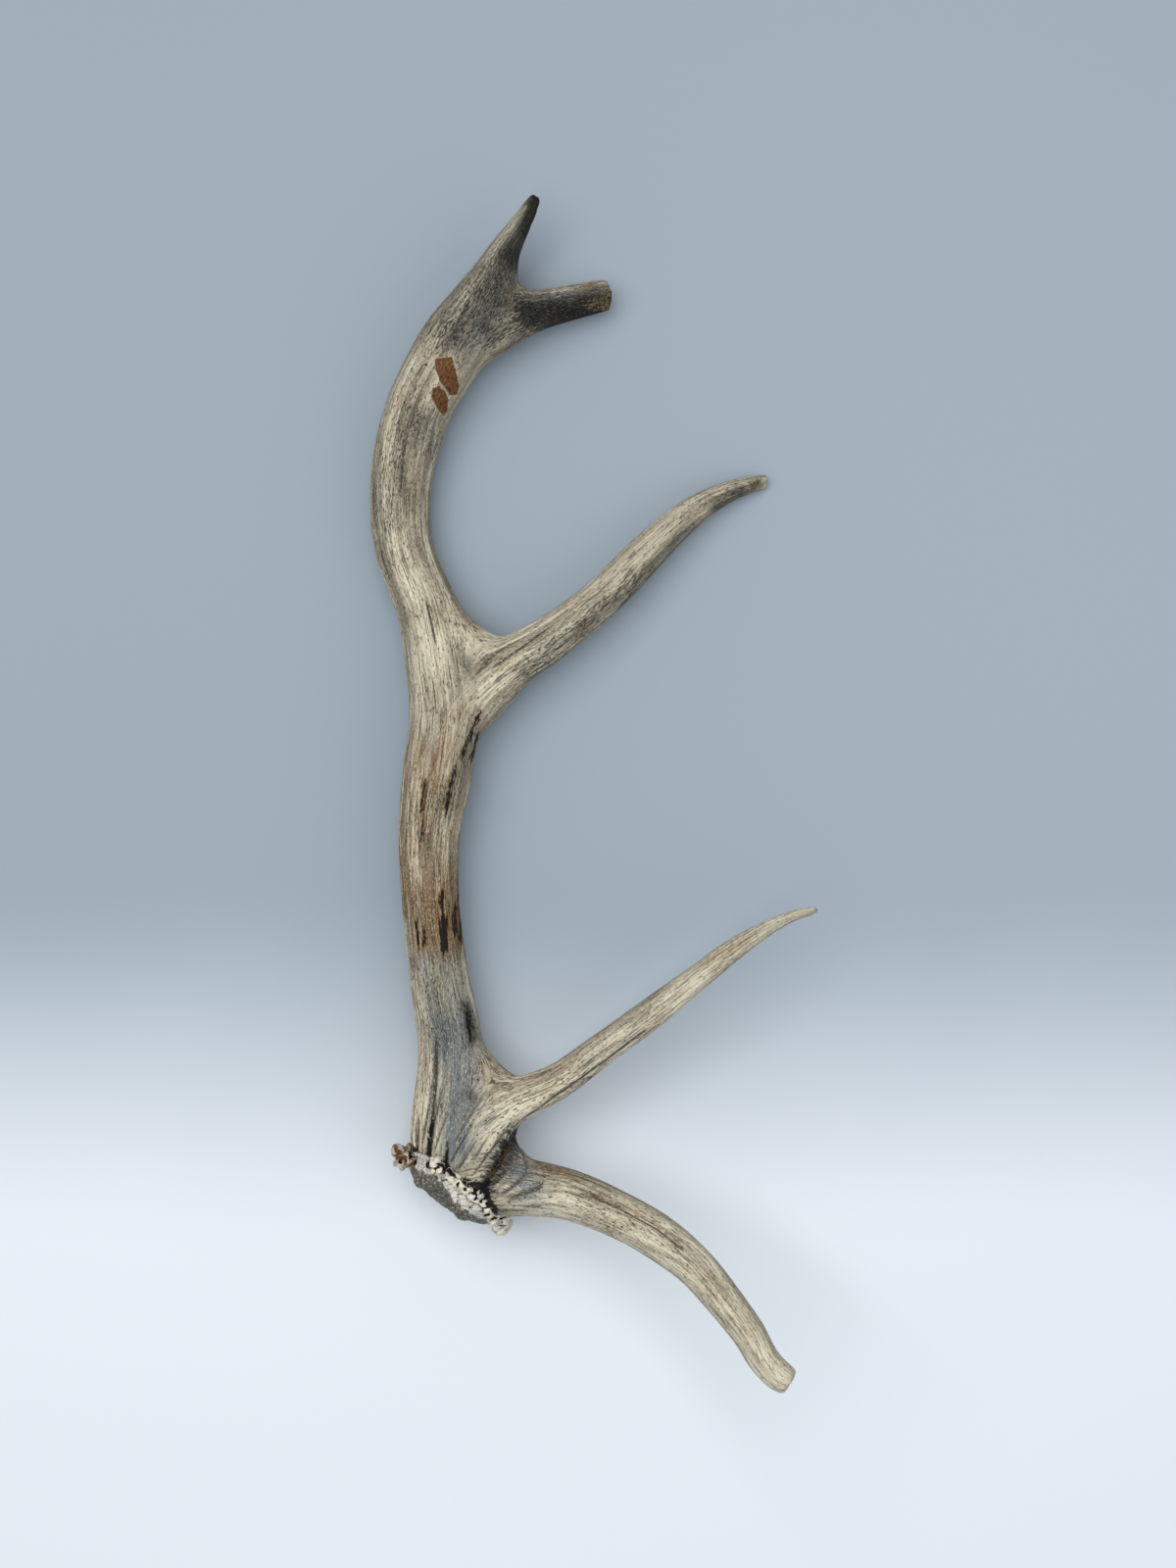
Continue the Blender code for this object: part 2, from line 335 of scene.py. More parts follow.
def knob_ring_tree():
    """Geometry nodes: lumpy knobs set along part of an oval, each a cluster of three rounded lobes."""
    tree = bpy.data.node_groups.new("Burr knobs", "GeometryNodeTree")
    face = tree.interface
    for name, kind in (
        ("Long radius", "NodeSocketFloat"), ("Short radius", "NodeSocketFloat"),
        ("Start", "NodeSocketFloat"), ("Sweep", "NodeSocketFloat"), ("Knobs", "NodeSocketInt"),
        ("Knob size", "NodeSocketFloat"), ("Scatter", "NodeSocketFloat"), ("Smallest", "NodeSocketFloat"),
        ("Largest", "NodeSocketFloat"), ("Flatness", "NodeSocketFloat"), ("Seed", "NodeSocketInt"),
        ("Material", "NodeSocketMaterial"),
    ):
        face.new_socket(name=name, in_out="INPUT", socket_type=kind)
    face.new_socket(name="Geometry", in_out="OUTPUT", socket_type="NodeSocketGeometry")
    given = add(tree, "NodeGroupInput").outputs
    arc = add(
        tree, "GeometryNodeCurveArc",
        {"Resolution": 128, "Radius": 1.0, "Start Angle": given["Start"], "Sweep Angle": given["Sweep"]},
    )
    oval = add(
        tree, "ShaderNodeCombineXYZ", {"X": given["Long radius"], "Y": given["Short radius"], "Z": 1.0}
    )
    ring = add(tree, "GeometryNodeTransform", {"Geometry": arc.outputs["Curve"], "Scale": oval.outputs[0]})
    spaced = add(
        tree, "GeometryNodeResampleCurve", {"Curve": ring.outputs["Geometry"], "Count": given["Knobs"]}
    )
    spread = add(tree, "FunctionNodeRandomValue", {"Seed": given["Seed"]}, data_type="FLOAT_VECTOR")
    spread.inputs[0].default_value = (-1, -1, -1)
    jitter = add(
        tree, "ShaderNodeVectorMath", {0: spread.outputs["Value"], "Scale": given["Scatter"]},
        operation="SCALE",
    )
    placed = add(
        tree, "GeometryNodeSetPosition",
        {"Geometry": spaced.outputs["Curve"], "Offset": jitter.outputs["Vector"]},
    )
    cluster = add(tree, "GeometryNodeJoinGeometry")
    for radius, offset in ((1.0, (0, 0, 0)), (0.72, (0.35, 0.45, 0.62)), (0.6, (0.4, -0.5, -0.55))):
        lobe = add(tree, "GeometryNodeMeshIcoSphere", {"Radius": radius, "Subdivisions": 3})
        moved = add(
            tree, "GeometryNodeTransform", {"Geometry": lobe.outputs["Mesh"], "Translation": offset}
        )
        tree.links.new(moved.outputs["Geometry"], cluster.inputs["Geometry"])
    turn = add(tree, "FunctionNodeRandomValue", {"Seed": given["Seed"]}, data_type="FLOAT_VECTOR")
    turn.inputs[1].default_value = (math.tau, math.tau, math.tau)
    sized = add(
        tree, "FunctionNodeRandomValue",
        {2: given["Smallest"], 3: given["Largest"], "Seed": given["Seed"]}, data_type="FLOAT",
    )
    flat = add(tree, "ShaderNodeCombineXYZ", {"X": 1.0, "Y": 1.0, "Z": given["Flatness"]})
    stretched = add(
        tree, "ShaderNodeVectorMath", {0: flat.outputs[0], "Scale": given["Knob size"]}, operation="SCALE"
    )
    scale = add(
        tree, "ShaderNodeVectorMath", {0: stretched.outputs["Vector"], "Scale": sized.outputs[1]},
        operation="SCALE",
    )
    set_out = add(
        tree, "GeometryNodeInstanceOnPoints",
        {
            "Points": placed.outputs["Geometry"], "Instance": cluster.outputs["Geometry"],
            "Rotation": turn.outputs["Value"], "Scale": scale.outputs["Vector"],
        },
    )
    real = add(tree, "GeometryNodeRealizeInstances", {"Geometry": set_out.outputs["Instances"]})
    finished = add(
        tree, "GeometryNodeSetMaterial",
        {"Geometry": real.outputs["Geometry"], "Material": given["Material"]},
    )
    add(tree, "NodeGroupOutput", {"Geometry": finished.outputs["Geometry"]})
    return tree


def knob_ring(tree, place, **values):
    """A plain mesh of one row of knobs, its inputs given by name."""
    thing = working_object("ring", bpy.data.meshes.new("ring"))
    modifier = thing.modifiers.new("Burr knobs", "NODES")
    modifier.node_group = tree
    for socket in tree.interface.items_tree:
        key = socket.name.lower().replace(" ", "_")
        if socket.in_out == "INPUT" and key in values:
            modifier[socket.identifier] = values[key]
    mesh = evaluated_mesh(thing)
    bpy.data.objects.remove(thing)
    mesh.transform(place)
    return mesh


# ------------------------------------------------------------------ growing the surface

def foot_parts(shape):
    """The knobs of the burr and the rounded seal inside them, in place."""
    tree = knob_ring_tree()
    ring = knob_ring(
        tree, facing(KNOB_CENTRE, KNOB_AXIS), long_radius=(BURR_RADII[0] - 1.7) * MM,
        short_radius=(BURR_RADII[1] - 2.4) * MM, start=KNOB_START, sweep=KNOB_SWEEP,
        knobs=shape.knobs, knob_size=shape.knob_size, scatter=1.0 * MM, smallest=0.8, largest=1.2,
        flatness=1.3, seed=shape.seed,
    )
    bpy.data.node_groups.remove(tree)
    dome = bmesh.new()
    bmesh.ops.create_uvsphere(dome, u_segments=96, v_segments=48, radius=1)
    width, height = (BURR_RADII[0] - 5.5) * MM, (BURR_RADII[1] - 3.5) * MM
    dome.transform(facing(BURR_CENTRE, BURR_AXIS) @ Matrix.Diagonal((width, height, shape.seal_depth, 1)))
    seal = bpy.data.meshes.new("seal")
    dome.to_mesh(seal)
    dome.free()
    return [ring, *(ball(place, radius) for place, radius in UPPER_KNOBS), seal]


def ball(place, radius):
    """A rounded lump, its place and radius in millimetres. A small one is drawn out up the beam."""
    shape = bmesh.new()
    bmesh.ops.create_icosphere(shape, subdivisions=4, radius=radius * MM)
    drawn = Matrix.Diagonal((1, 1, 1, 1) if radius > 4 else (0.85, 0.85, 1.5, 1))
    shape.transform(facing(place, BURR_AXIS) @ drawn)
    mesh = bpy.data.meshes.new("lump")
    shape.to_mesh(mesh)
    shape.free()
    return mesh


def flare_mesh():
    """The widening foot of the beam above the burr."""
    shape = bmesh.new()
    oval = Matrix.Diagonal(((BURR_RADII[0] - 5) * MM, (BURR_RADII[1] - 4) * MM, MM, 1))
    bmesh.ops.create_cone(
        shape, cap_ends=True, segments=64, radius1=1, radius2=0.72, depth=FLARE_LENGTH,
        matrix=facing(BURR_CENTRE, BURR_AXIS) @ oval @ Matrix.Translation((0, 0, FLARE_LENGTH / 2 - 2)),
    )
    mesh = bpy.data.meshes.new("flare")
    shape.to_mesh(mesh)
    shape.free()
    return mesh


def base_surface(shape):
    """The antler before its relief: one closed, even, finely meshed surface."""
    branches = [BEAM, BROW_TINE, BEZ_TINE, TREZ_TINE, CROWN_FRONT_TINE, *WEBS]
    trunk = modified(
        joined([*map(tube_mesh, branches), flare_mesh()]),
        ("REMESH", {"mode": "VOXEL", "voxel_size": BLEND_VOXEL * MM}),
        ("SMOOTH", {"factor": 0.5, "iterations": BLEND_SMOOTHING}),
        ("SUBSURF", {"levels": 1, "render_levels": 1}),
    )
    return modified(
        joined([trunk, *foot_parts(shape)]),
        ("REMESH", {"mode": "VOXEL", "voxel_size": FINE_VOXEL * MM}),
        ("SMOOTH", {"factor": 0.5, "iterations": FINE_SMOOTHING}),
    )


# ------------------------------------------------------------------ the grain

def smooth_noise(places, seed):
    """Gradient noise from about -1 to 1 at each place, with cells one unit across."""
    chance = np.random.default_rng(seed)
    gradients = chance.normal(size=(256, 3)).astype(np.float32)
    gradients /= np.linalg.norm(gradients, axis=1, keepdims=True)
    shuffle = chance.permutation(256)
    cell = np.floor(places).astype(np.int64)
    part = (places - cell).astype(np.float32)
    fade = part ** 3 * (part * (part * 6 - 15) + 10)
    total = np.zeros(len(places), np.float32)
    for corner in np.ndindex(2, 2, 2):
        x, y, z = (cell + corner).T
        pick = shuffle[(shuffle[(shuffle[x & 255] + y) & 255] + z) & 255]
        slope = ((part - corner) * gradients[pick]).sum(1)
        total += slope * np.where(corner, fade, 1 - fade).prod(1)
    return total * 1.6


def blend(low, high, value):
    """0 below low, 1 above high, and smooth between."""
    t = np.clip((value - low) / (high - low), 0, 1)
    return t * t * (3 - 2 * t)


def follow(places, points):
    """How each place, in millimetres, lies on a branch: its grain (across, across, along) and its height
    off the branch's surface."""
    line, along = sampled(points, 2)
    tangent = np.gradient(line[:, :3], axis=0)
    tangent /= np.linalg.norm(tangent, axis=1, keepdims=True)
    up = np.array([0, 0, 1]) - tangent * tangent[:, 2:3]
    up /= np.linalg.norm(up, axis=1, keepdims=True)
    side = np.cross(tangent, up)
    nearest = np.empty(len(places), np.int64)
    middle = line[:, :3].astype(np.float32)
    for start in range(0, len(places), 20000):
        some = places[start : start + 20000].astype(np.float32)
        apart = (some ** 2).sum(1)[:, None] - 2 * some @ middle.T + (middle ** 2).sum(1)
        nearest[start : start + 20000] = apart.argmin(1)
    offset = places - line[nearest, :3]
    ahead = (offset * tangent[nearest]).sum(1)
    inner = (nearest > 0) & (nearest < len(line) - 1)
    ahead_inside = np.where(inner, ahead, 0)
    offset = offset - ahead_inside[:, None] * tangent[nearest]
    height = np.linalg.norm(offset, axis=1) - line[nearest, 3]
    angle = np.arctan2((offset * side[nearest]).sum(1), (offset * up[nearest]).sum(1))
    distance = along[nearest] + ahead_inside
    girth = np.median(line[:, 3])
    grain = np.stack([np.sin(angle) * girth, np.cos(angle) * girth, distance], axis=1)
    return grain, height


# Which tine the middle share of each stretch of the beam goes to, by how far up the antler it is.
SIDE_TINES = [(-30, BEZ_TINE), (215, TREZ_TINE), (1000, CROWN_FRONT_TINE)]
SHARE_BLEND = 4.5


def grain_fields(places):
    """Three grains, along the beam, its side tines and the brow tine, and each place's share of each."""
    side = [np.zeros((len(places), 3)), np.zeros(len(places))]
    low = -1000
    for high, tine in SIDE_TINES:
        here = (places[:, 1] >= low) & (places[:, 1] < high)
        for whole, part in zip(side, follow(places[here], tine)):
            whole[here] = part
        low = high
    grains, heights = zip(follow(places, BEAM), side, follow(places, BROW_TINE))
    strength = np.exp(-np.clip(np.array(heights) / SHARE_BLEND, -8, 40))
    return grains, strength / strength.sum(0)


def relief_of(grain, seed, shape):
    """Heights in millimetres from the ridges along one grain, and how deep in a furrow each place is."""
    fluting = smooth_noise(grain / (11, 11, 120), seed)
    ridges = smooth_noise(grain / (3.6, 3.6, 50), seed + 1)
    fine = smooth_noise(grain / (1.9, 1.9, 24), seed + 2)
    wander = smooth_noise(grain / (5.0, 5.0, 110), seed + 3)
    where = blend(-0.2, 0.8, smooth_noise(grain / (13, 13, 60), seed + 4))
    furrow = np.exp(-((wander / 0.12) ** 2)) * where
    height = fluting * shape.fluting_depth / MM + ridges * 0.34 + fine * 0.17
    return height, furrow


# ------------------------------------------------------------------ the burr's own measure

def from_the_burr(places, middle=BURR_CENTRE, way=BURR_AXIS):
    """Each place as (across, across, up the beam) from the burr's middle, in millimetres."""
    inward = np.array(facing(middle, way).inverted())
    return places @ inward[:3, :3].T + inward[:3, 3] / MM


def foot_zones(places, normals):
    """How much each place belongs to the knobs, the flaked rim and the spongy seal, and its spot there."""
    spot = from_the_burr(places)
    knob_spot = from_the_burr(places, KNOB_CENTRE, KNOB_AXIS)
    radius = np.hypot(spot[:, 0] / BURR_RADII[0], spot[:, 1] / BURR_RADII[1])
    ragged = 0.05 * smooth_noise(places / 3.5, 71)
    down = -(normals @ np.array(Vector(BURR_AXIS).normalized()))
    seal = (1 - blend(0.72, 0.78, radius + ragged)) * (1 - blend(-2.5, -1.0, spot[:, 2]))
    low = blend(0, 14, -spot[:, 1])
    seal = np.maximum(seal, low * (1 - blend(0.90, 0.94, radius + ragged)) * (1 - blend(-1, 1, spot[:, 2])))
    apart = np.full(len(places), 99.0)
    for middle, size in UPPER_KNOBS:
        apart = np.minimum(apart, np.linalg.norm(places - middle, axis=1) - size)
    beyond = knob_spot[:, 2] + 20 * ragged
    ring = blend(0.84, 0.92, radius) * (1 - blend(2.6, 4.6, beyond)) * blend(-5.5, -3.5, beyond)
    ring *= 1 - blend(-2, 4, spot[:, 1])
    knobs = np.maximum((1 - seal) * ring, 1 - blend(0.9, 1.9, apart)) * (1 - blend(1.35, 1.5, radius))
    rim = (1 - seal) * (1 - knobs) * blend(0.1, 0.45, down + 2 * ragged) * (1 - blend(0, 3, spot[:, 2]))
    rim *= 1 - blend(1.02, 1.08, radius + ragged)
    return knobs, rim, seal * (1 - knobs), spot


def fan_relief(spot, seed):
    """Ridges and deep furrows that fan up the beam from the burr, and how deep in a furrow it is."""
    angle = np.arctan2(spot[:, 1], spot[:, 0])
    turned = np.stack([np.cos(angle) * 17, np.sin(angle) * 17, spot[:, 2] / 60], axis=1)
    ridges = smooth_noise(turned, seed)
    near = blend(3, 9, spot[:, 2]) * (1 - blend(16, 58, spot[:, 2]))
    near = near * (np.hypot(spot[:, 0], spot[:, 1]) < 62)
    return near * ridges * 1.15, near * blend(0.15, 0.7, -ridges) * 0.7


# ------------------------------------------------------------------ marks and stains

# Furrows and cracks of the upper side: (points in plan, half width, depth), all in millimetres.
FURROWS = [
    ([(-95.5, -234), (-93.2, -212), (-91.8, -195), (-90.6, -177), (-91, -150)], 1.3, 1.5),
    ([(-103, -232), (-100.6, -212), (-99.5, -196)], 0.9, 0.9),
    ([(-86, -238), (-83.5, -222), (-82.5, -208)], 0.9, 0.9),
    ([(-70, -248), (-64, -241), (-54, -226), (-42, -210)], 1.5, 1.7),
    ([(-63, 38), (-68, 28), (-74, 14), (-77, 6)], 0.8, 0.8),
    ([(-60, 60), (-41, 74), (-20, 90)], 0.6, 0.5),
    ([(-96, -2), (-98, -24), (-99, -42)], 0.7, 0.5),
    ([(-89.5, 72), (-97, 106)], 0.7, 0.5),
    ([(-108, 202), (-110.6, 180), (-112, 162)], 0.7, 0.5),
    ([(-44, -205), (-22, -189), (8, -168), (36, -146)], 0.8, 0.35),
    ([(-6, -239), (14, -246), (38, -257), (56, -270)], 0.7, 0.4),
]
RIDGES = [
    ([(-106, -222), (-101, -198), (-98.5, -170), (-101, -140), (-104, -110)], 5.5, 1.3),
    ([(-74, -230), (-64, -214), (-48, -201), (-22, -187)], 3.6, 1.1),
    ([(-66, -234), (-57, -221), (-46, -210)], 2.8, 0.9),
    ([(-20, -236), (14, -244), (44, -258)], 3.2, 0.7),
]

# Where two grains meet and the relief dies down: (points in plan, half width).
CALM = [
    ([(-60, -221), (-46, -236)], 10),
    ([(-72, -162), (-71, -180)], 7),
]

# Black streaks, some of them painted shadow: (points in plan, half width).
STREAKS = [
    ([(-87, -63), (-86.4, -86)], 0.9),
    ([(-86.4, -78), (-85.2, -110)], 2.1),
    ([(-79.9, -71), (-79.6, -101)], 1.0),
    ([(-77.4, -66), (-75.6, -105)], 0.9),
    ([(-96, -238), (-93.4, -214), (-92, -198)], 1.3),
    ([(-106, -230), (-103.8, -212)], 0.9),
    ([(-86, -240), (-82.5, -214)], 0.7),
    ([(-63, 40), (-69, 26), (-76, 6)], 0.7),
    ([(-77, 10), (-82, -8), (-86, -28)], 0.8),
    ([(-65, 28), (-71, 2)], 1.1),
    ([(-73, -132), (-69, -160)], 1.2),
    # The next streak is painted shadow along the bez root's ridge, in the pit by the brow tine.
    ([(-66, -245), (-61, -239), (-55, -230)], 2.0),
    ([(-50, -226), (-47, -217)], 0.9),
    ([(-97, -84), (-97, -106)], 0.8),
    ([(-102, -80), (-101, -104)], 0.6),
    ([(-96, 2), (-98, -22), (-99, -46)], 0.5),
    ([(-34, 340), (-30, 350)], 2.5),
    # The next streak is painted shadow in the gap between the burr's knobs and the brow tine's root.
    ([(-78, -232), (-70, -237), (-61, -239), (-57, -249), (-52, -261)], 1.5),
    ([(-112, -214), (-100, -222), (-92, -224)], 1.3),
    ([(-110.5, -225.5), (-103.5, -225)], 1.0),
    ([(-108.5, -225), (-107.6, -231)], 0.8),
    ([(-84.5, -226), (-84, -232)], 0.7),
    ([(-72.5, -236), (-72.3, -243)], 0.7),
    ([(-66, -241), (-65.8, -247)], 0.7),
    ([(-57.5, -263.5), (-51.5, -264.8), (-46, -264)], 0.9),
    ([(-53.5, -264), (-49.8, -268), (-53, -271)], 0.9),
    ([(-93, -224), (-84, -227), (-74, -236)], 1.0),
]

# Rust-brown patches: outlines in plan.
PATCHES = [
    [(-91.1, 242.9), (-80.9, 244.0), (-77.0, 228.4), (-79.0, 223.8), (-82.6, 222.9), (-88.2, 230.4),
     (-90.5, 237.1)],
    [(-92.4, 226.1), (-89.3, 227.4), (-85.2, 224.8), (-83.8, 220.2), (-84.3, 214.5), (-86.7, 211.7),
     (-89.3, 214.0), (-93.4, 221.7)],
    [(-97.6, 240.4), (-95.6, 240.6), (-95.2, 238.8), (-96.8, 239.0)],
]

# Soft stains, and one painted shade: kind: (points in plan, half width, strength).
STAINS = {
    "warm": [
        ([(-113, 60), (-112, 20), (-112, -30), (-110, -80)], 5.5, 0.9),
        ([(-92, 10), (-93, -40), (-90, -96)], 18, 0.75), ([(-80, -62), (-79, -100)], 7, 0.8),
        ([(-98, -70), (-97, -102)], 10, 0.5), ([(-104, -212), (-98, -170), (-101, -130)], 5, 0.45),
        ([(-70, -164), (-58, -178), (-30, -180)], 9, 0.5), ([(-116, -220), (-103, -227)], 6, 1.2),
        ([(-4, 289), (11, 287)], 3.2, 1.0), ([(6, 276), (12, 280)], 5, 0.7),
        ([(104, 177), (110, 178)], 4, 0.8),
        ([(-72, 40), (-40, 66)], 6, 0.3), ([(-90, 20), (-92, 60)], 14, 0.3),
        ([(-31, -229), (0, -232)], 3.5, 0.8),
        ([(3, -241), (18, -247), (35, -254), (51, -265)], 2.4, 1.0),
        ([(56, -276), (75, -295), (89, -309)], 4.5, 0.7), ([(-104, 130), (-106, 180)], 7, 0.2),
        ([(30, -131), (63, -111), (95, -92)], 2, 0.8), ([(-20, -180), (40, -142)], 8, 0.25),
        ([(-48, -212), (-56, -228)], 6, 0.5), ([(116.5, -334), (117, -336)], 2.5, 0.9),
        ([(-60, -232), (-36, -214)], 4, 0.3), ([(-88, 100), (-60, 70)], 10, 0.2),
    ],
    "cool": [
        ([(-99, -108), (-93, -142), (-88, -165)], 5, 0.8),
        ([(-78, -148), (-76, -178), (-77, -216)], 12.5, 1.5),
        ([(-68, -196), (-56, -206)], 6, 0.4), ([(-48, -222), (-34, -241)], 9, 1.4),
        ([(0, -170), (28, -152)], 4, 0.8), ([(-24, -193), (4, -174)], 3.5, 0.5),
        ([(-84, -108), (-80, -132)], 7, 0.5), ([(-74, 250), (-60, 268), (-52, 292)], 8, 0.7),
        ([(-26, 275), (4, 279)], 9, 1.4), ([(-95, 10), (-90, 40)], 5, 0.3),
        ([(-24, -251), (12, -263), (50, -291), (84, -322)], 5, 0.45),
        ([(102, -91), (116, -84)], 3, 0.5),
    ],
    "dark": [
        ([(-80, 261), (-58, 284), (-46, 304)], 15, 0.9), ([(-36, 273), (4, 278)], 9, 1.4),
        ([(-58, 258), (-26, 268), (-4, 273)], 8, 0.6),
        ([(-48, 304), (-40, 318), (-32, 336)], 6, 0.7),
        ([(-118, 150), (-115, 185), (-104, 212)], 9, 0.45), ([(-88, -112), (-86, -150)], 12, 0.3),
        ([(-36, 320), (-29, 346)], 5, 1.3), ([(76, 160), (88, 168)], 4.5, 0.8),
        ([(92, 170), (100, 174)], 4, 0.5),
        ([(-45, -211), (-55, -229), (-63, -245)], 6.5, 1.15), ([(-68, 24), (-84, -18)], 5, 0.45),
        ([(-73, -136), (-69, -156)], 3.2, 1.0), ([(-98, 206), (-94, 192)], 9, 0.25),
        # The first stain of the next line is painted shade along the trez tine's lower side.
        ([(-38, 60), (-21, 76), (8, 98), (35, 120), (58, 146)], 6, 0.6), ([(0, 279), (12, 283)], 7, 0.5),
        ([(-104, -232), (-60, -262)], 3, 0.3), ([(-80, -66), (-80, -104)], 5, 0.3),
        ([(-22, -188), (10, -173)], 2.0, 0.5),
    ],
    "pale": [
        ([(-60, -203), (-20, -183), (60, -122), (130, -80)], 11, 0.55),
        ([(-121, 145), (-119, 195)], 5, 0.5),
        ([(102, -331), (112, -337)], 8, 1.2), ([(-92, 30), (-96, 60), (-100, 100)], 10, 0.25),
        ([(-70, -226), (-50, -205)], 5, 0.15), ([(-92, 250), (-66, 290)], 3, 0.3),
        ([(-61, 302), (-52, 316), (-40, 333)], 2.5, 0.4), ([(-22, 286), (-4, 291)], 2.5, 0.5),
        ([(-20, -250), (40, -262), (100, -330)], 16, 0.5), ([(-60, 78), (-10, 98), (60, 160)], 7, 0.5),
        ([(-104, -205), (-99, -160)], 5, 0.35),
    ],
}

# Broken and worn ends: (a point of the break, the way it faces, how far round it reaches, all in mm).
BREAKS = [
    ((7.0, 279.5, 19.5), (0.50, -0.50, 0.70), 12),
    ((12.4, 284, 14), (0.96, -0.26, 0.10), 15),
    ((103.5, 175.8, 6.6), (0.50, -0.45, 0.74), 9),
    ((116.6, -335, 131.5), (0.93, 0.12, 0.34), 5),
]


def stroke(places, path):
    """How far each place lies from a stroke, seen from above."""
    plan = places[:, :2]
    nearest = np.full(len(places), 1000.0)
    for start, end in zip(np.array(path[:-1], float), np.array(path[1:], float)):
        step = end - start
        part = np.clip((plan - start) @ step / (step @ step), 0, 1)
        nearest = np.minimum(nearest, np.linalg.norm(plan - start - part[:, None] * step, axis=1))
    return nearest


def close_to(places, path, width):
    """1 along a stroke, and fading over its half width."""
    return np.exp(-((stroke(places, path) / width) ** 2))


def pinched(places, path):
    """1 along a stroke, falling to 0 at its two ends."""
    apart = [np.linalg.norm(places[:, :2] - end, axis=1) for end in (path[0], path[-1])]
    return blend(0, 9, apart[0]) * blend(0, 9, apart[1])


def tapering(places, path, width):
    """How far each place lies outside a streak that thins out at its two ends."""
    full = pinched(places, path)
    return stroke(places, path) - width * full + (1 - full)


def outline(places, corners):
    """How far each place lies outside an outline, seen from above, and below zero inside it."""
    ring = [*corners, corners[0]]
    x, y = places[:, 0], places[:, 1]
    inside = np.zeros(len(places), bool)
    for (ax, ay), (bx, by) in zip(ring[:-1], ring[1:]):
        crossing = (ay > y) != (by > y)
        inside ^= crossing & (x < (bx - ax) * (y - ay) / (by - ay) + ax)
    return stroke(places, ring) * np.where(inside, -1, 1)


def stained(places):
    """The strength of each soft stain at each place."""
    return {
        kind: sum(strength * close_to(places, path, width) for path, width, strength in drawn)
        for kind, drawn in STAINS.items()
    }


def carved(places, upper):
    """Heights in millimetres of the listed ridges and furrows of the upper side, and the furrows."""
    height = np.zeros(len(places))
    furrow = np.zeros(len(places))
    for path, width, rise in RIDGES:
        height += rise * upper * pinched(places, path) * close_to(places, path, width)
    for path, width, depth in FURROWS:
        cut = upper * pinched(places, path) * close_to(places, path, width)
        height -= depth * cut
        furrow = np.maximum(furrow, cut)
    return height, furrow


def broken(places):
    """The places after the broken ends are cut back, and how much of each lies in a break."""
    places = places.copy()
    share = np.zeros(len(places))
    rough = smooth_noise(places / 3.6, 91) * 1.1 + smooth_noise(places / 1.5, 92) * 0.45
    for point, way, reach in BREAKS:
        way = np.array(Vector(way).normalized())
        near = np.linalg.norm(places - point, axis=1) < reach
        ahead = (places - point) @ way + rough * 0.9
        past = near & (ahead > 0)
        places[past] -= (ahead[past, None] * 0.95) * way
        share = np.maximum(share, np.where(near, blend(-0.8, 0.2, ahead), 0))
    return places, share


# ------------------------------------------------------------------ the whole surface, with all it knows

def corners_of(mesh):
    """The mesh's corners, the first corner of each face and the number of corners of each."""
    corners = np.empty(len(mesh.loops), np.int64)
    starts = np.empty(len(mesh.polygons), np.int64)
    totals = np.empty(len(mesh.polygons), np.int64)
    mesh.loops.foreach_get("vertex_index", corners)
    mesh.polygons.foreach_get("loop_start", starts)
    mesh.polygons.foreach_get("loop_total", totals)
    return corners, starts, totals


def places_of(mesh):
    """Where each point lies, in millimetres."""
    places = np.empty(len(mesh.vertices) * 3)
    mesh.vertices.foreach_get("co", places)
    return places.reshape(-1, 3) / MM


def normals_of(mesh):
    """The normal at each point."""
    normals = np.empty(len(mesh.vertices) * 3)
    mesh.vertex_normals.foreach_get("vector", normals)
    return normals.reshape(-1, 3)


def in_parting(places, parting):
    """Each place in a parting's own measure: across, across and ahead of its flat, in millimetres."""
    point, way, half_width, _ = parting
    inward = np.array(facing(point, way).inverted())
    spot = places @ inward[:3, :3].T + inward[:3, 3] / MM
    return spot, (np.abs(spot[:, :2]) < half_width).all(1)


def cut_at_partings(mesh):
    """Cuts the faces that the partings pass through, so that each piece ends in a clean line."""
    middles = np.empty(len(mesh.polygons) * 3)
    mesh.polygons.foreach_get("center", middles)
    middles = middles.reshape(-1, 3) / MM
    shape = bmesh.new()
    shape.from_mesh(mesh)
    faces = list(shape.faces)
    for parting in PARTINGS.values():
        spot, inside = in_parting(middles, parting)
        near = [faces[i] for i in np.flatnonzero(inside & (np.abs(spot[:, 2]) < 2.5))]
        edges = {edge for face in near for edge in face.edges}
        verts = {vert for face in near for vert in face.verts}
        bmesh.ops.bisect_plane(
            shape, geom=[*verts, *edges, *near], dist=0.04 * MM,
            plane_co=Vector(parting[0]) * MM, plane_no=Vector(parting[1]).normalized(),
        )
    shape.to_mesh(mesh)
    shape.free()
    mesh.update()


def parted(mesh):
    """Which piece each face belongs to, as its number in PIECES."""
    middles = np.empty(len(mesh.polygons) * 3)
    mesh.polygons.foreach_get("center", middles)
    middles = middles.reshape(-1, 3) / MM
    number = np.full(len(middles), PIECES.index("lower_beam"))
    for name, parting in reversed(PARTINGS.items()):
        spot, inside = in_parting(middles, parting)
        number[inside & (spot[:, 2] > 0) & (spot[:, 2] < parting[3])] = PIECES.index(name)
    return number


def crevices(mesh, places, normals, rounds):
    """How far each place lies below the surface's own average round it, in millimetres."""
    edges = np.empty(len(mesh.edges) * 2, np.int64)
    mesh.edges.foreach_get("vertices", edges)
    a, b = edges.reshape(-1, 2).T
    count = np.bincount(edges, minlength=len(places))[:, None]
    calm = places
    for _ in range(rounds):
        total = [
            np.bincount(a, calm[b, i], len(calm)) + np.bincount(b, calm[a, i], len(calm)) for i in range(3)
        ]
        calm = np.stack(total, axis=1) / count
    return ((calm - places) * normals).sum(1)


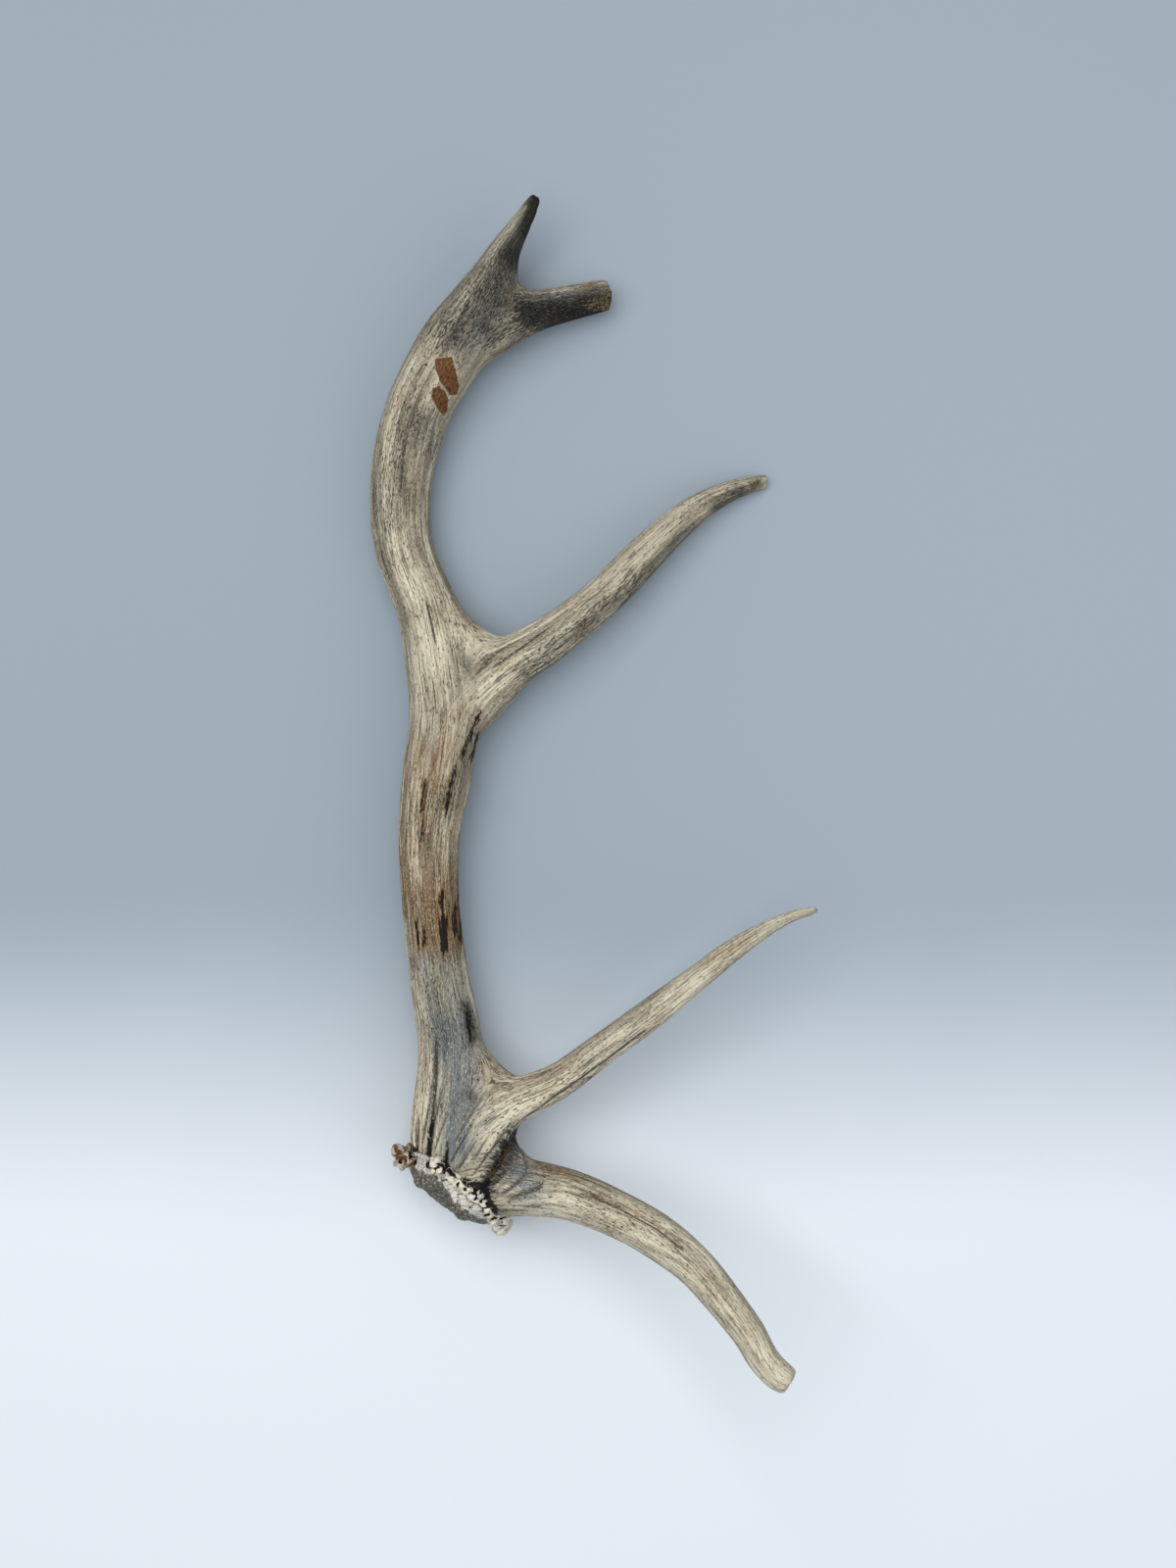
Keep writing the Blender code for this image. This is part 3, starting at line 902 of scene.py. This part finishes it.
def grown_relief(places, grains, shares, shape):
    """The relief that follows the grain, in millimetres, and how deep in a furrow each place is."""
    height = np.zeros(len(places))
    furrow = np.zeros(len(places))
    for number, (grain, share) in enumerate(zip(grains, shares)):
        own_height, own_furrow = relief_of(grain, shape.seed + 10 * number, shape)
        height += share * own_height
        furrow += share * own_furrow
    single = blend(0.45, 0.85, shares.max(0))
    for path, width in CALM:
        single = single * (1 - 0.8 * close_to(places, path, width))
    crown = 1 - 0.45 * blend(200, 245, places[:, 1])
    return height * (0.35 + 0.65 * single) * crown, furrow * single * crown


def write_field(mesh, name, values):
    """Stores one number or one vector at each point of the mesh."""
    kind, key = ("FLOAT", "value") if values.ndim == 1 else ("FLOAT_VECTOR", "vector")
    field = mesh.attributes.new(name, kind, "POINT")
    field.data.foreach_set(key, np.ascontiguousarray(values, np.float32).ravel())


def sculpted(mesh, grains, shares, shape):
    """Raises the relief and cuts back the broken ends. Gives each place, the foot's three zones, and how
    raised, how deep in a furrow and how broken each place is."""
    places, normals = places_of(mesh), normals_of(mesh)
    knobs, rim, seal, spot = foot_zones(places, normals)
    foot = np.clip(knobs + rim + seal, 0, 1)
    upper = blend(-0.05, 0.35, normals[:, 2]) * (1 - foot)

    height, furrow = grown_relief(places, grains, shares, shape)
    fan, fan_furrow = fan_relief(spot, shape.seed + 50)
    carving, carved_furrow = carved(places, upper)
    furrow = np.maximum.reduce([furrow, fan_furrow, carved_furrow]) * (1 - foot)
    height = (height + fan) * (1 - foot) + carving - furrow * shape.furrow_depth / MM
    tone = height / 1.4
    for zone, (size, rise, fine_size, fine_rise, seed) in zip((knobs, rim, seal), FOOT_LUMPS):
        lumps = smooth_noise(places / size, seed) * rise
        height += zone * (lumps + smooth_noise(places / fine_size, seed + 1) * fine_rise)
    places = places + normals * height[:, None]
    deeper = np.clip(crevices(mesh, places, normals, 10), 0, 1.5) * (knobs * 1.6 + rim * 0.8)
    places -= normals * deeper[:, None]
    places, snapped = broken(places)
    places[:, 2] -= places[:, 2].min()
    mesh.vertices.foreach_set("co", (places * MM).ravel())
    mesh.update()
    return places, (knobs, rim, seal), tone, furrow, snapped


def grow(shape):
    """The whole antler as one mesh, with its pieces numbered and its fields stored."""
    mesh = base_surface(shape)
    mesh.name = "antler_whole"
    cut_at_partings(mesh)
    grains, shares = grain_fields(places_of(mesh))
    places, zones, tone, furrow, snapped = sculpted(mesh, grains, shares, shape)
    normals = normals_of(mesh)
    # How deep each place lies in a wide hollow and in a narrow crease; the materials lay painted shade
    # there.
    hollow = crevices(mesh, places, normals, 14)
    crease = crevices(mesh, places, normals, 4)
    upper = blend(0.0, 0.3, normals[:, 2])
    black = np.minimum.reduce([tapering(places, path, width) for path, width in STREAKS])
    rust = np.minimum.reduce([outline(places, corners) for corners in PATCHES])
    stains = stained(places)
    write_field(mesh, "grain_beam", grains[0])
    write_field(mesh, "grain_side", grains[1])
    write_field(mesh, "grain_brow", grains[2])
    write_field(mesh, "grown_from", shares.T)
    under = 8 * (1 - upper)  # keeps the marks of the upper side off the far one
    threes = {
        "stains": (stains["warm"], stains["cool"], stains["dark"]),
        "relief": (tone, furrow, hollow),
        "marks": (np.clip(black, -4, 4) + under, np.clip(rust, -4, 4) + under, snapped),
        "foot": zones,
        "finish": (stains["pale"], crease, np.zeros(len(places))),
    }
    for name, parts in threes.items():
        write_field(mesh, name, np.stack(parts, axis=1))
    number = mesh.attributes.new("piece", "INT", "FACE")
    number.data.foreach_set("value", parted(mesh).astype(np.int32))
    return mesh


# ------------------------------------------------------------------ materials

def shared_streaks(tree, across, along, detail, seed=0.0):
    """A noise drawn out along all three grains, its streaks so many millimetres across and along, and
    mixed by how much each place has of each grain."""
    found = []
    for name in ("grain_beam", "grain_side", "grain_brow"):
        grain = add(tree, "ShaderNodeAttribute", attribute_name=name).outputs["Vector"]
        spread = add(
            tree, "ShaderNodeVectorMath",
            {0: grain, 1: (1 / across, 1 / across, 1 / along), 2: (seed, seed, seed)},
            operation="MULTIPLY_ADD",
        )
        noise = add(
            tree, "ShaderNodeTexNoise",
            {"Vector": spread.outputs[0], "Scale": 1.0, "Detail": detail, "Roughness": 0.6},
        )
        found.append(noise.outputs["Fac"])
    three = add(tree, "ShaderNodeCombineXYZ", {"X": found[0], "Y": found[1], "Z": found[2]})
    shares = add(tree, "ShaderNodeAttribute", attribute_name="grown_from").outputs["Vector"]
    return add(
        tree, "ShaderNodeVectorMath", {0: three.outputs[0], 1: shares}, operation="DOT_PRODUCT"
    ).outputs["Value"]


def coat(tree, under, tint, value, low, high, most=1.0, least=0.0, within=1.0):
    """Lays a colour over another: least of it where a value is low, most where it is high, and only
    within a share."""
    share = add(
        tree, "ShaderNodeMapRange",
        {"Value": value, "From Min": low, "From Max": high, "To Min": least, "To Max": most},
        interpolation_type="SMOOTHSTEP",
    )
    held = add(
        tree, "ShaderNodeMath", {0: share.outputs[0], 1: within}, operation="MULTIPLY", use_clamp=True
    )
    return add(tree, "ShaderNodeMix", {0: held.outputs[0], 6: under, 7: tint}, data_type="RGBA").outputs[2]


def weighed(tree, total, *parts):
    """A sum of values, each (value, weight), on top of a first one."""
    for value, weight in parts:
        step = add(tree, "ShaderNodeMath", {0: value, 1: weight, 2: total}, operation="MULTIPLY_ADD")
        total = step.outputs[0]
    return total


def field(tree, name):
    """The three parts of one of the surface's own fields."""
    read = add(tree, "ShaderNodeAttribute", attribute_name=name)
    return add(tree, "ShaderNodeSeparateXYZ", {0: read.outputs["Vector"]}).outputs


def palette(colours):
    """The antler's colours by name, ready for a node's socket."""
    return {name: (*getattr(colours, name), 1.0) for name in colours.__annotations__}


def cortex_colour(tree, tints):
    """The outer bone's colour and its height for bump."""
    tone, furrow, hollow = field(tree, "relief")
    warm, cool, dark = field(tree, "stains")
    black, rust, snapped = field(tree, "marks")
    pale, _, _ = field(tree, "finish")
    wide = shared_streaks(tree, 3.0, 55, 2.0)
    narrow = shared_streaks(tree, 1.25, 20, 2.5, 5.0)
    hairs = shared_streaks(tree, 0.9, 24, 1.5, 21.0)
    specks = shared_streaks(tree, 0.72, 3.0, 2.0, 9.0)
    fine = shared_streaks(tree, 0.42, 1.8, 1.0, 13.0)
    place = add(tree, "ShaderNodeTexCoord").outputs["Object"]
    clouds = add(
        tree, "ShaderNodeTexNoise", {"Vector": place, "Scale": 38.0, "Detail": 3.0, "Roughness": 0.55}
    ).outputs["Fac"]

    # Ridges are worn pale and the bone between them keeps its older, duller tone.
    lifted = weighed(tree, wide, (tone, 0.9), (pale, 0.22))
    tint = coat(tree, tints["shade"], tints["bone"], lifted, 0.12, 0.92)
    tint = coat(tree, tint, tints["shade"], narrow, 0.52, 0.36, 0.7)
    tint = coat(tree, tint, tints["brown"], clouds, 0.42, 0.66, 0.32)
    tint = coat(tree, tint, tints["brown"], narrow, 0.62, 0.40, 1.0, 0.18, within=warm)
    tint = coat(tree, tint, tints["black"], hairs, 0.47, 0.37, 0.8, within=warm)
    tint = coat(tree, tint, tints["blue"], wide, 0.30, 0.62, 0.5, 1.0, within=cool)
    tint = coat(tree, tint, tints["dark"], narrow, 0.34, 0.66, 0.6, 1.0, within=dark)
    tint = coat(tree, tint, tints["bone"], narrow, 0.4, 0.6, 0.9, 0.35, within=pale)

    # Painted shade darkens the hollows and the furrows; dirt settles in hair lines and in short specks that
    # follow the grain.
    tint = coat(tree, tint, tints["speckle"], hollow, 0.02, 0.45, 0.65)
    tint = coat(tree, tint, tints["black"], furrow, 0.25, 1.0, 0.8)
    tint = coat(tree, tint, tints["speckle"], hairs, 0.44, 0.35, 0.68)
    bright = weighed(tree, 1.0, (dark, -0.6))
    reach = weighed(tree, specks, (dark, 0.10), (clouds, 0.2), (pale, -0.025))
    tint = coat(tree, tint, tints["speckle"], reach, 0.66, 0.72, 0.85)
    tint = coat(tree, tint, tints["black"], reach, 0.66, 0.72, 0.9, within=dark)
    tint = coat(tree, tint, tints["bone"], fine, 0.53, 0.70, 0.45, within=bright)
    tint = coat(tree, tint, tints["shade"], fine, 0.46, 0.32, 0.4)

    # Black streaks, some of them painted shadow, break up along the grain, in a burnt brown edge.
    ragged = weighed(tree, black, (narrow, 6.0), (specks, -5.0))
    tint = coat(tree, tint, tints["brown"], ragged, 2.6, 0.6, 0.75, within=warm)
    tint = coat(tree, tint, tints["black"], ragged, 1.0, 0.5, 0.97)

    # The rust patches are sharp, with a faint pale edge and a fine grain of their own.
    edge = weighed(tree, rust, (specks, 3.2))
    tint = coat(tree, tint, tints["bone"], edge, 3.2, 1.6, 0.15)
    rusty = coat(tree, tints["rust"], tints["bone"], fine, 0.50, 0.66, 0.14)
    rusty = coat(tree, rusty, tints["black"], specks, 0.50, 0.62, 0.75)
    tint = coat(tree, tint, rusty, edge, 1.9, 1.5)

    # A break shows ochre bone with open pores.
    pores = add(tree, "ShaderNodeTexVoronoi", {"Vector": place, "Scale": 480.0}).outputs["Distance"]
    porous = coat(tree, tints["black"], tints["ochre"], pores, 0.22, 0.50)
    porous = coat(tree, porous, tints["dark"], specks, 0.42, 0.56, 0.9)
    porous = coat(tree, porous, tints["bone"], dark, 0.6, -0.2, 0.8)
    tint = coat(tree, tint, porous, snapped, 0.1, 0.9, 0.92)

    return tint, weighed(tree, narrow, (hairs, 0.6), (specks, -0.9), (fine, 0.35))


def bone_finish(name):
    """A new bone material's tree, and a shader that only lacks its colour and its bump."""
    made = bpy.data.materials.new(name)
    made.use_nodes = True
    tree = made.node_tree
    tree.nodes.clear()
    bump = add(tree, "ShaderNodeBump", {"Strength": 0.8, "Distance": 0.5 * MM})
    shader = add(
        tree, "ShaderNodeBsdfPrincipled",
        {"Normal": bump.outputs["Normal"], "Roughness": 0.75, "IOR": 1.55, "Specular IOR Level": 0.2},
    )
    add(tree, "ShaderNodeOutputMaterial", {"Surface": shader.outputs[0]})
    return made, tree, shader, bump


def cortex_material(colours):
    """Antler cortex, grown in ridges under velvet, rubbed clean and then weathered outdoors. The eye sees
    pale worn ridges over grey-brown furrows, dirt in hair lines along the grain and hardly any gloss.
    Painted shade darkens the furrows and hollows."""
    made, tree, shader, bump = bone_finish("Antler cortex, grown and weathered")
    tint, height = cortex_colour(tree, palette(colours))
    tree.links.new(tint, shader.inputs["Base Color"])
    tree.links.new(height, bump.inputs["Height"])
    return made


def foot_material(colours):
    """The antler's foot: cortex that swells into knobs, a flaked chalky rim and the spongy bone of the
    seal, which broke free of the skull. The eye sees cream knob tops with rust-brown between them, blocky
    pale flakes and a grey, open, matt sponge. Painted shade blackens the deepest gaps between the knobs and
    darkens the creases of the rim and the seal."""
    made, tree, shader, bump = bone_finish("Antler foot, knobbed cortex and broken seal")
    tints = palette(colours)
    tint, height = cortex_colour(tree, tints)
    knobs, rim, seal = field(tree, "foot")
    warm, _, _ = field(tree, "stains")
    black, _, _ = field(tree, "marks")
    _, _, hollow = field(tree, "relief")
    _, crease, _ = field(tree, "finish")
    place = add(tree, "ShaderNodeTexCoord").outputs["Object"]
    lumps = add(tree, "ShaderNodeTexNoise", {"Vector": place, "Scale": 260.0, "Detail": 4.0}).outputs["Fac"]
    patches = add(tree, "ShaderNodeTexNoise", {"Vector": place, "Scale": 75.0, "Detail": 2.0}).outputs["Fac"]

    knob = coat(tree, tints["rim"], tints["bone"], patches, 0.42, 0.56, 0.8)
    knob = coat(tree, knob, tints["ochre"], lumps, 0.44, 0.62, 0.55)
    knob = coat(tree, knob, tints["rust"], lumps, 0.40, 0.56, 0.9, 0.35, within=warm)
    # Rust-brown lines the crevices between the knobs, and painted shade blackens their deepest gaps.
    between = weighed(tree, crease, (lumps, 0.12), (hollow, 0.30))
    knob = coat(tree, knob, tints["rust"], between, 0.08, 0.18, 0.9)
    knob = coat(tree, knob, tints["black"], between, 0.16, 0.31)
    # Black streaks cross the knobs; one of them is painted shadow by the brow tine's root.
    knob = coat(tree, knob, tints["black"], black, 0.9, 0.1)

    cracks = add(
        tree, "ShaderNodeTexVoronoi", {"Vector": place, "Scale": 200.0}, feature="DISTANCE_TO_EDGE"
    ).outputs["Distance"]
    chalk = coat(tree, tints["rim"], tints["blue"], lumps, 0.42, 0.70, 0.5)
    chalk = coat(tree, chalk, tints["speckle"], cracks, 0.07, 0.01, 0.6)
    chalk = coat(tree, chalk, tints["rust"], patches, 0.66, 0.72, 0.8)
    # Painted shade in the creases of the flaked rim.
    chalk = coat(tree, chalk, tints["speckle"], crease, 0.06, 0.26, 0.85)

    cells = add(tree, "ShaderNodeTexVoronoi", {"Vector": place, "Scale": 560.0}).outputs["Distance"]
    sponge = coat(tree, tints["seal"], tints["speckle"], cells, 0.34, 0.60, 0.72)
    sponge = coat(tree, sponge, tints["rim"], cells, 0.26, 0.08, 0.7)
    # Painted shade in the creases of the seal.
    sponge = coat(tree, sponge, tints["speckle"], crease, 0.04, 0.22, 0.8)
    sponge = coat(tree, sponge, tints["brown"], patches, 0.58, 0.72, 0.5)

    tint = coat(tree, tint, knob, knobs, 0.2, 0.8)
    tint = coat(tree, tint, chalk, rim, 0.2, 0.8)
    tint = coat(tree, tint, sponge, seal, 0.2, 0.8)
    mixed = add(tree, "ShaderNodeMix", {0: seal, 2: height, 3: cells}, data_type="FLOAT").outputs[0]
    tree.links.new(tint, shader.inputs["Base Color"])
    tree.links.new(mixed, bump.inputs["Height"])
    return made


def floor_material(studio):
    """Seamless paper, matt-coated and laid flat. The eye sees a pale ground that is brightest near the foot
    of the antler;
    towards the crown it darkens with painted shade in place of the paper swept up into a wall, and towards
    +X it is a little lighter with painted light."""
    made = bpy.data.materials.new("Studio paper, matt coated")
    made.use_nodes = True
    tree = made.node_tree
    tree.nodes.clear()
    place = add(tree, "ShaderNodeTexCoord").outputs["Object"]
    split = add(tree, "ShaderNodeSeparateXYZ", {0: place}).outputs
    fibres = add(tree, "ShaderNodeTexNoise", {"Vector": place, "Scale": 3.0, "Detail": 3.0}).outputs["Fac"]
    # Painted shade darkens the paper towards the crown, and painted light makes it a little lighter towards
    # +X.
    far = weighed(tree, split["Y"], (fibres, 0.06))
    tint = coat(tree, (*studio.floor_near, 1.0), (*studio.floor_far_shade, 1.0), far, -0.26, -0.03, 0.9)
    tint = coat(tree, tint, (*studio.floor_near, 1.0), split["X"], -0.3, 0.5, 0.1)
    shader = add(tree, "ShaderNodeBsdfPrincipled", {"Base Color": tint, "Roughness": 0.8})
    add(tree, "ShaderNodeOutputMaterial", {"Surface": shader.outputs[0]})
    return made


# ------------------------------------------------------------------ pieces

def taken(whole, chosen, name):
    """A new mesh of some of the whole's faces, and which of its points they use."""
    corners, starts, totals = corners_of(whole)
    counts = totals[chosen]
    first = np.concatenate([[0], np.cumsum(counts)[:-1]])
    index = np.repeat(starts[chosen] - first, counts) + np.arange(counts.sum())
    used, own = np.unique(corners[index], return_inverse=True)
    mesh = bpy.data.meshes.new(name)
    mesh.vertices.add(len(used))
    mesh.loops.add(len(own))
    mesh.polygons.add(len(counts))
    mesh.vertices.foreach_set("co", (places_of(whole)[used] * MM).ravel())
    mesh.loops.foreach_set("vertex_index", own.astype(np.int32))
    mesh.polygons.foreach_set("loop_start", first.astype(np.int32))
    mesh.update(calc_edges=True)
    return mesh, used


def close_cuts(mesh):
    """Closes each cut end with a flat fan of faces that point outwards."""
    shape = bmesh.new()
    shape.from_mesh(mesh)
    rims = [edge for edge in shape.edges if edge.is_boundary]
    caps = bmesh.ops.holes_fill(shape, edges=rims, sides=0)["faces"]
    for cap in caps:
        corner = cap.loops[0]
        if corner.link_loop_radial_next.vert == corner.vert:
            cap.normal_flip()
    bmesh.ops.poke(shape, faces=caps)
    shape.to_mesh(mesh)
    shape.free()


def keep_shading(mesh, normals, surface_faces):
    """Gives the skin the whole antler's normals, so that no parting shows, and leaves the cut ends flat."""
    corners, starts, totals = corners_of(mesh)
    shading = normals[np.minimum(corners, len(normals) - 1)]
    flat = np.empty(len(mesh.polygons) * 3)
    mesh.polygons.foreach_get("normal", flat)
    flat = flat.reshape(-1, 3)
    for face in range(surface_faces, len(starts)):
        shading[starts[face] : starts[face] + totals[face]] = flat[face]
    mesh.polygons.foreach_set("use_smooth", np.ones(len(starts), bool))
    mesh.normals_split_custom_set(shading.tolist())


def piece(label, material):
    """One piece of the grown antler, closed, at the origin and fixed to the frame."""
    whole = bpy.data.meshes["antler_whole"]
    number = np.empty(len(whole.polygons), np.int32)
    whole.attributes["piece"].data.foreach_get("value", number)
    chosen = np.flatnonzero(number == PIECES.index(label))
    if not len(chosen):
        raise RuntimeError(f"the grown antler has no {label}")
    mesh, used = taken(whole, chosen, f"{label}_bone")
    for name in FIELDS:
        source = whole.attributes[name]
        single = source.data_type == "FLOAT"
        values = np.empty(len(whole.vertices) * (1 if single else 3), np.float32)
        source.data.foreach_get("value" if single else "vector", values)
        values = values if single else values.reshape(-1, 3)
        write_field(mesh, name, values[used])
    close_cuts(mesh)
    keep_shading(mesh, normals_of(whole)[used], len(chosen))
    mesh.materials.append(material)
    thing = bpy.data.objects.new(f"{label}_bone", mesh)
    bpy.context.scene.collection.objects.link(thing)
    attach(thing, "root")
    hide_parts("lower_beam" if label == "burr" else label)
    return thing


def soft_light(name, power):
    """One of the square soft boxes, turned towards its target."""
    place, target, side, share, tint = SOFT_LIGHTS[name]
    light = bpy.data.lights.new(name, "AREA")
    light.shape = "RECTANGLE"
    light.size = side
    light.size_y = side
    light.energy = power * share
    light.color = tint
    thing = bpy.data.objects.new(name, light)
    thing.location = place
    thing.rotation_euler = (Vector(target) - Vector(place)).to_track_quat("-Z", "Y").to_euler()
    bpy.context.scene.collection.objects.link(thing)


def pale_floor(studio):
    """The paper, level with the bottom of the antler."""
    low, _ = CAD_BOX
    shape = bmesh.new()
    bmesh.ops.create_grid(shape, x_segments=8, y_segments=8, size=FLOOR_HALF_WIDTH)
    mesh = bpy.data.meshes.new("floor")
    shape.to_mesh(mesh)
    shape.free()
    mesh.transform(Matrix.Translation((0, 0, min(low.z, 0))))
    mesh.materials.append(floor_material(studio))
    floor = bpy.data.objects.new("floor", mesh)
    bpy.context.scene.collection.objects.link(floor)


def sky(tint, strength):
    """The even light of the studio's walls."""
    world = bpy.data.worlds.new("Studio walls")
    world.use_nodes = True
    world.node_tree.nodes.clear()
    glow = add(world.node_tree, "ShaderNodeBackground", {"Color": (*tint, 1.0), "Strength": strength})
    add(world.node_tree, "ShaderNodeOutputWorld", {"Surface": glow.outputs[0]})
    bpy.context.scene.world = world


def overhead_camera():
    """A camera straight above the antler, its upright frame a little wider than the antler is long."""
    low, high = CAD_BOX
    middle = (low + high) / 2
    lens = bpy.data.cameras.new("camera")
    lens.lens = LENS_LENGTH
    lens.sensor_width = SENSOR_WIDTH
    camera = bpy.data.objects.new("camera", lens)
    camera.location = (middle.x + CAMERA_OFFSET[0], middle.y + CAMERA_OFFSET[1], CAMERA_HEIGHT)
    bpy.context.scene.collection.objects.link(camera)
    bpy.context.scene.camera = camera


# ------------------------------------------------------------------ operators

class ANTLER_OT_grow(Operator):
    """Grows the whole antler as one surface, ready to be parted"""

    bl_idname = "antler.grow"
    bl_label = "Grow the antler"

    def execute(self, context):
        old = bpy.data.meshes.get("antler_whole")
        if old:
            bpy.data.meshes.remove(old)
        grow(context.scene.antler_shape)
        return {"FINISHED"}


class ANTLER_OT_burr(Operator):
    """Parts the burr, with its knobs, flaked rim and seal"""

    bl_idname = "antler.burr"
    bl_label = "Burr and seal"

    def execute(self, context):
        piece("burr", foot_material(context.scene.antler_colours))
        return {"FINISHED"}


class ANTLER_OT_beams(Operator):
    """Parts the lower and the upper beam"""

    bl_idname = "antler.beams"
    bl_label = "Beams"

    def execute(self, context):
        material = weathered(context)
        for label in ("lower_beam", "upper_beam"):
            piece(label, material)
        return {"FINISHED"}


class ANTLER_OT_tines(Operator):
    """Parts the brow, bez, trez and crown tines"""

    bl_idname = "antler.tines"
    bl_label = "Tines"

    def execute(self, context):
        material = weathered(context)
        for label in ("brow_tine", "bez_tine", "trez_tine", "crown_front_tine", "crown_rear_tine"):
            piece(label, material)
        return {"FINISHED"}


class ANTLER_OT_stage(Operator):
    """Lays the pale floor and sets the soft lights and the camera"""

    bl_idname = "antler.stage"
    bl_label = "Studio"

    def execute(self, context):
        studio = context.scene.antler_studio
        pale_floor(studio)
        sky(studio.walls, studio.wall_glow)
        for name in SOFT_LIGHTS:
            soft_light(name, studio.key_power)
        overhead_camera()
        context.scene.view_settings.view_transform = "Standard"
        return {"FINISHED"}


def weathered(context):
    """The cortex material, made once and then shared by the beams and the tines."""
    found = bpy.data.materials.get("Antler cortex, grown and weathered")
    return found or cortex_material(context.scene.antler_colours)


class ANTLER_PT_panel(Panel):
    """The antler's steps and settings in the sidebar"""

    bl_idname = "ANTLER_PT_panel"
    bl_label = "Antler"
    bl_space_type = "VIEW_3D"
    bl_region_type = "UI"
    bl_category = "Antler"

    def draw(self, context):
        for step in STEPS:
            self.layout.operator(step.bl_idname)
        scene = context.scene
        for settings in (scene.antler_shape, scene.antler_colours, scene.antler_studio):
            box = self.layout.box()
            for name in settings.__annotations__:
                box.prop(settings, name)


STEPS = (ANTLER_OT_grow, ANTLER_OT_burr, ANTLER_OT_beams, ANTLER_OT_tines, ANTLER_OT_stage)
CLASSES = (AntlerShape, AntlerColours, AntlerStudio, *STEPS, ANTLER_PT_panel)


def register():
    for each in CLASSES:
        bpy.utils.register_class(each)
    bpy.types.Scene.antler_shape = PointerProperty(type=AntlerShape)
    bpy.types.Scene.antler_colours = PointerProperty(type=AntlerColours)
    bpy.types.Scene.antler_studio = PointerProperty(type=AntlerStudio)


def unregister():
    del bpy.types.Scene.antler_shape
    del bpy.types.Scene.antler_colours
    del bpy.types.Scene.antler_studio
    for each in reversed(CLASSES):
        bpy.utils.unregister_class(each)


def main():
    """Grows the antler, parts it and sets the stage."""
    register()
    bpy.ops.antler.grow()
    bpy.ops.antler.burr()
    bpy.ops.antler.beams()
    bpy.ops.antler.tines()
    bpy.ops.antler.stage()
    bpy.data.meshes.remove(bpy.data.meshes["antler_whole"])


if __name__ == "__main__":
    main()
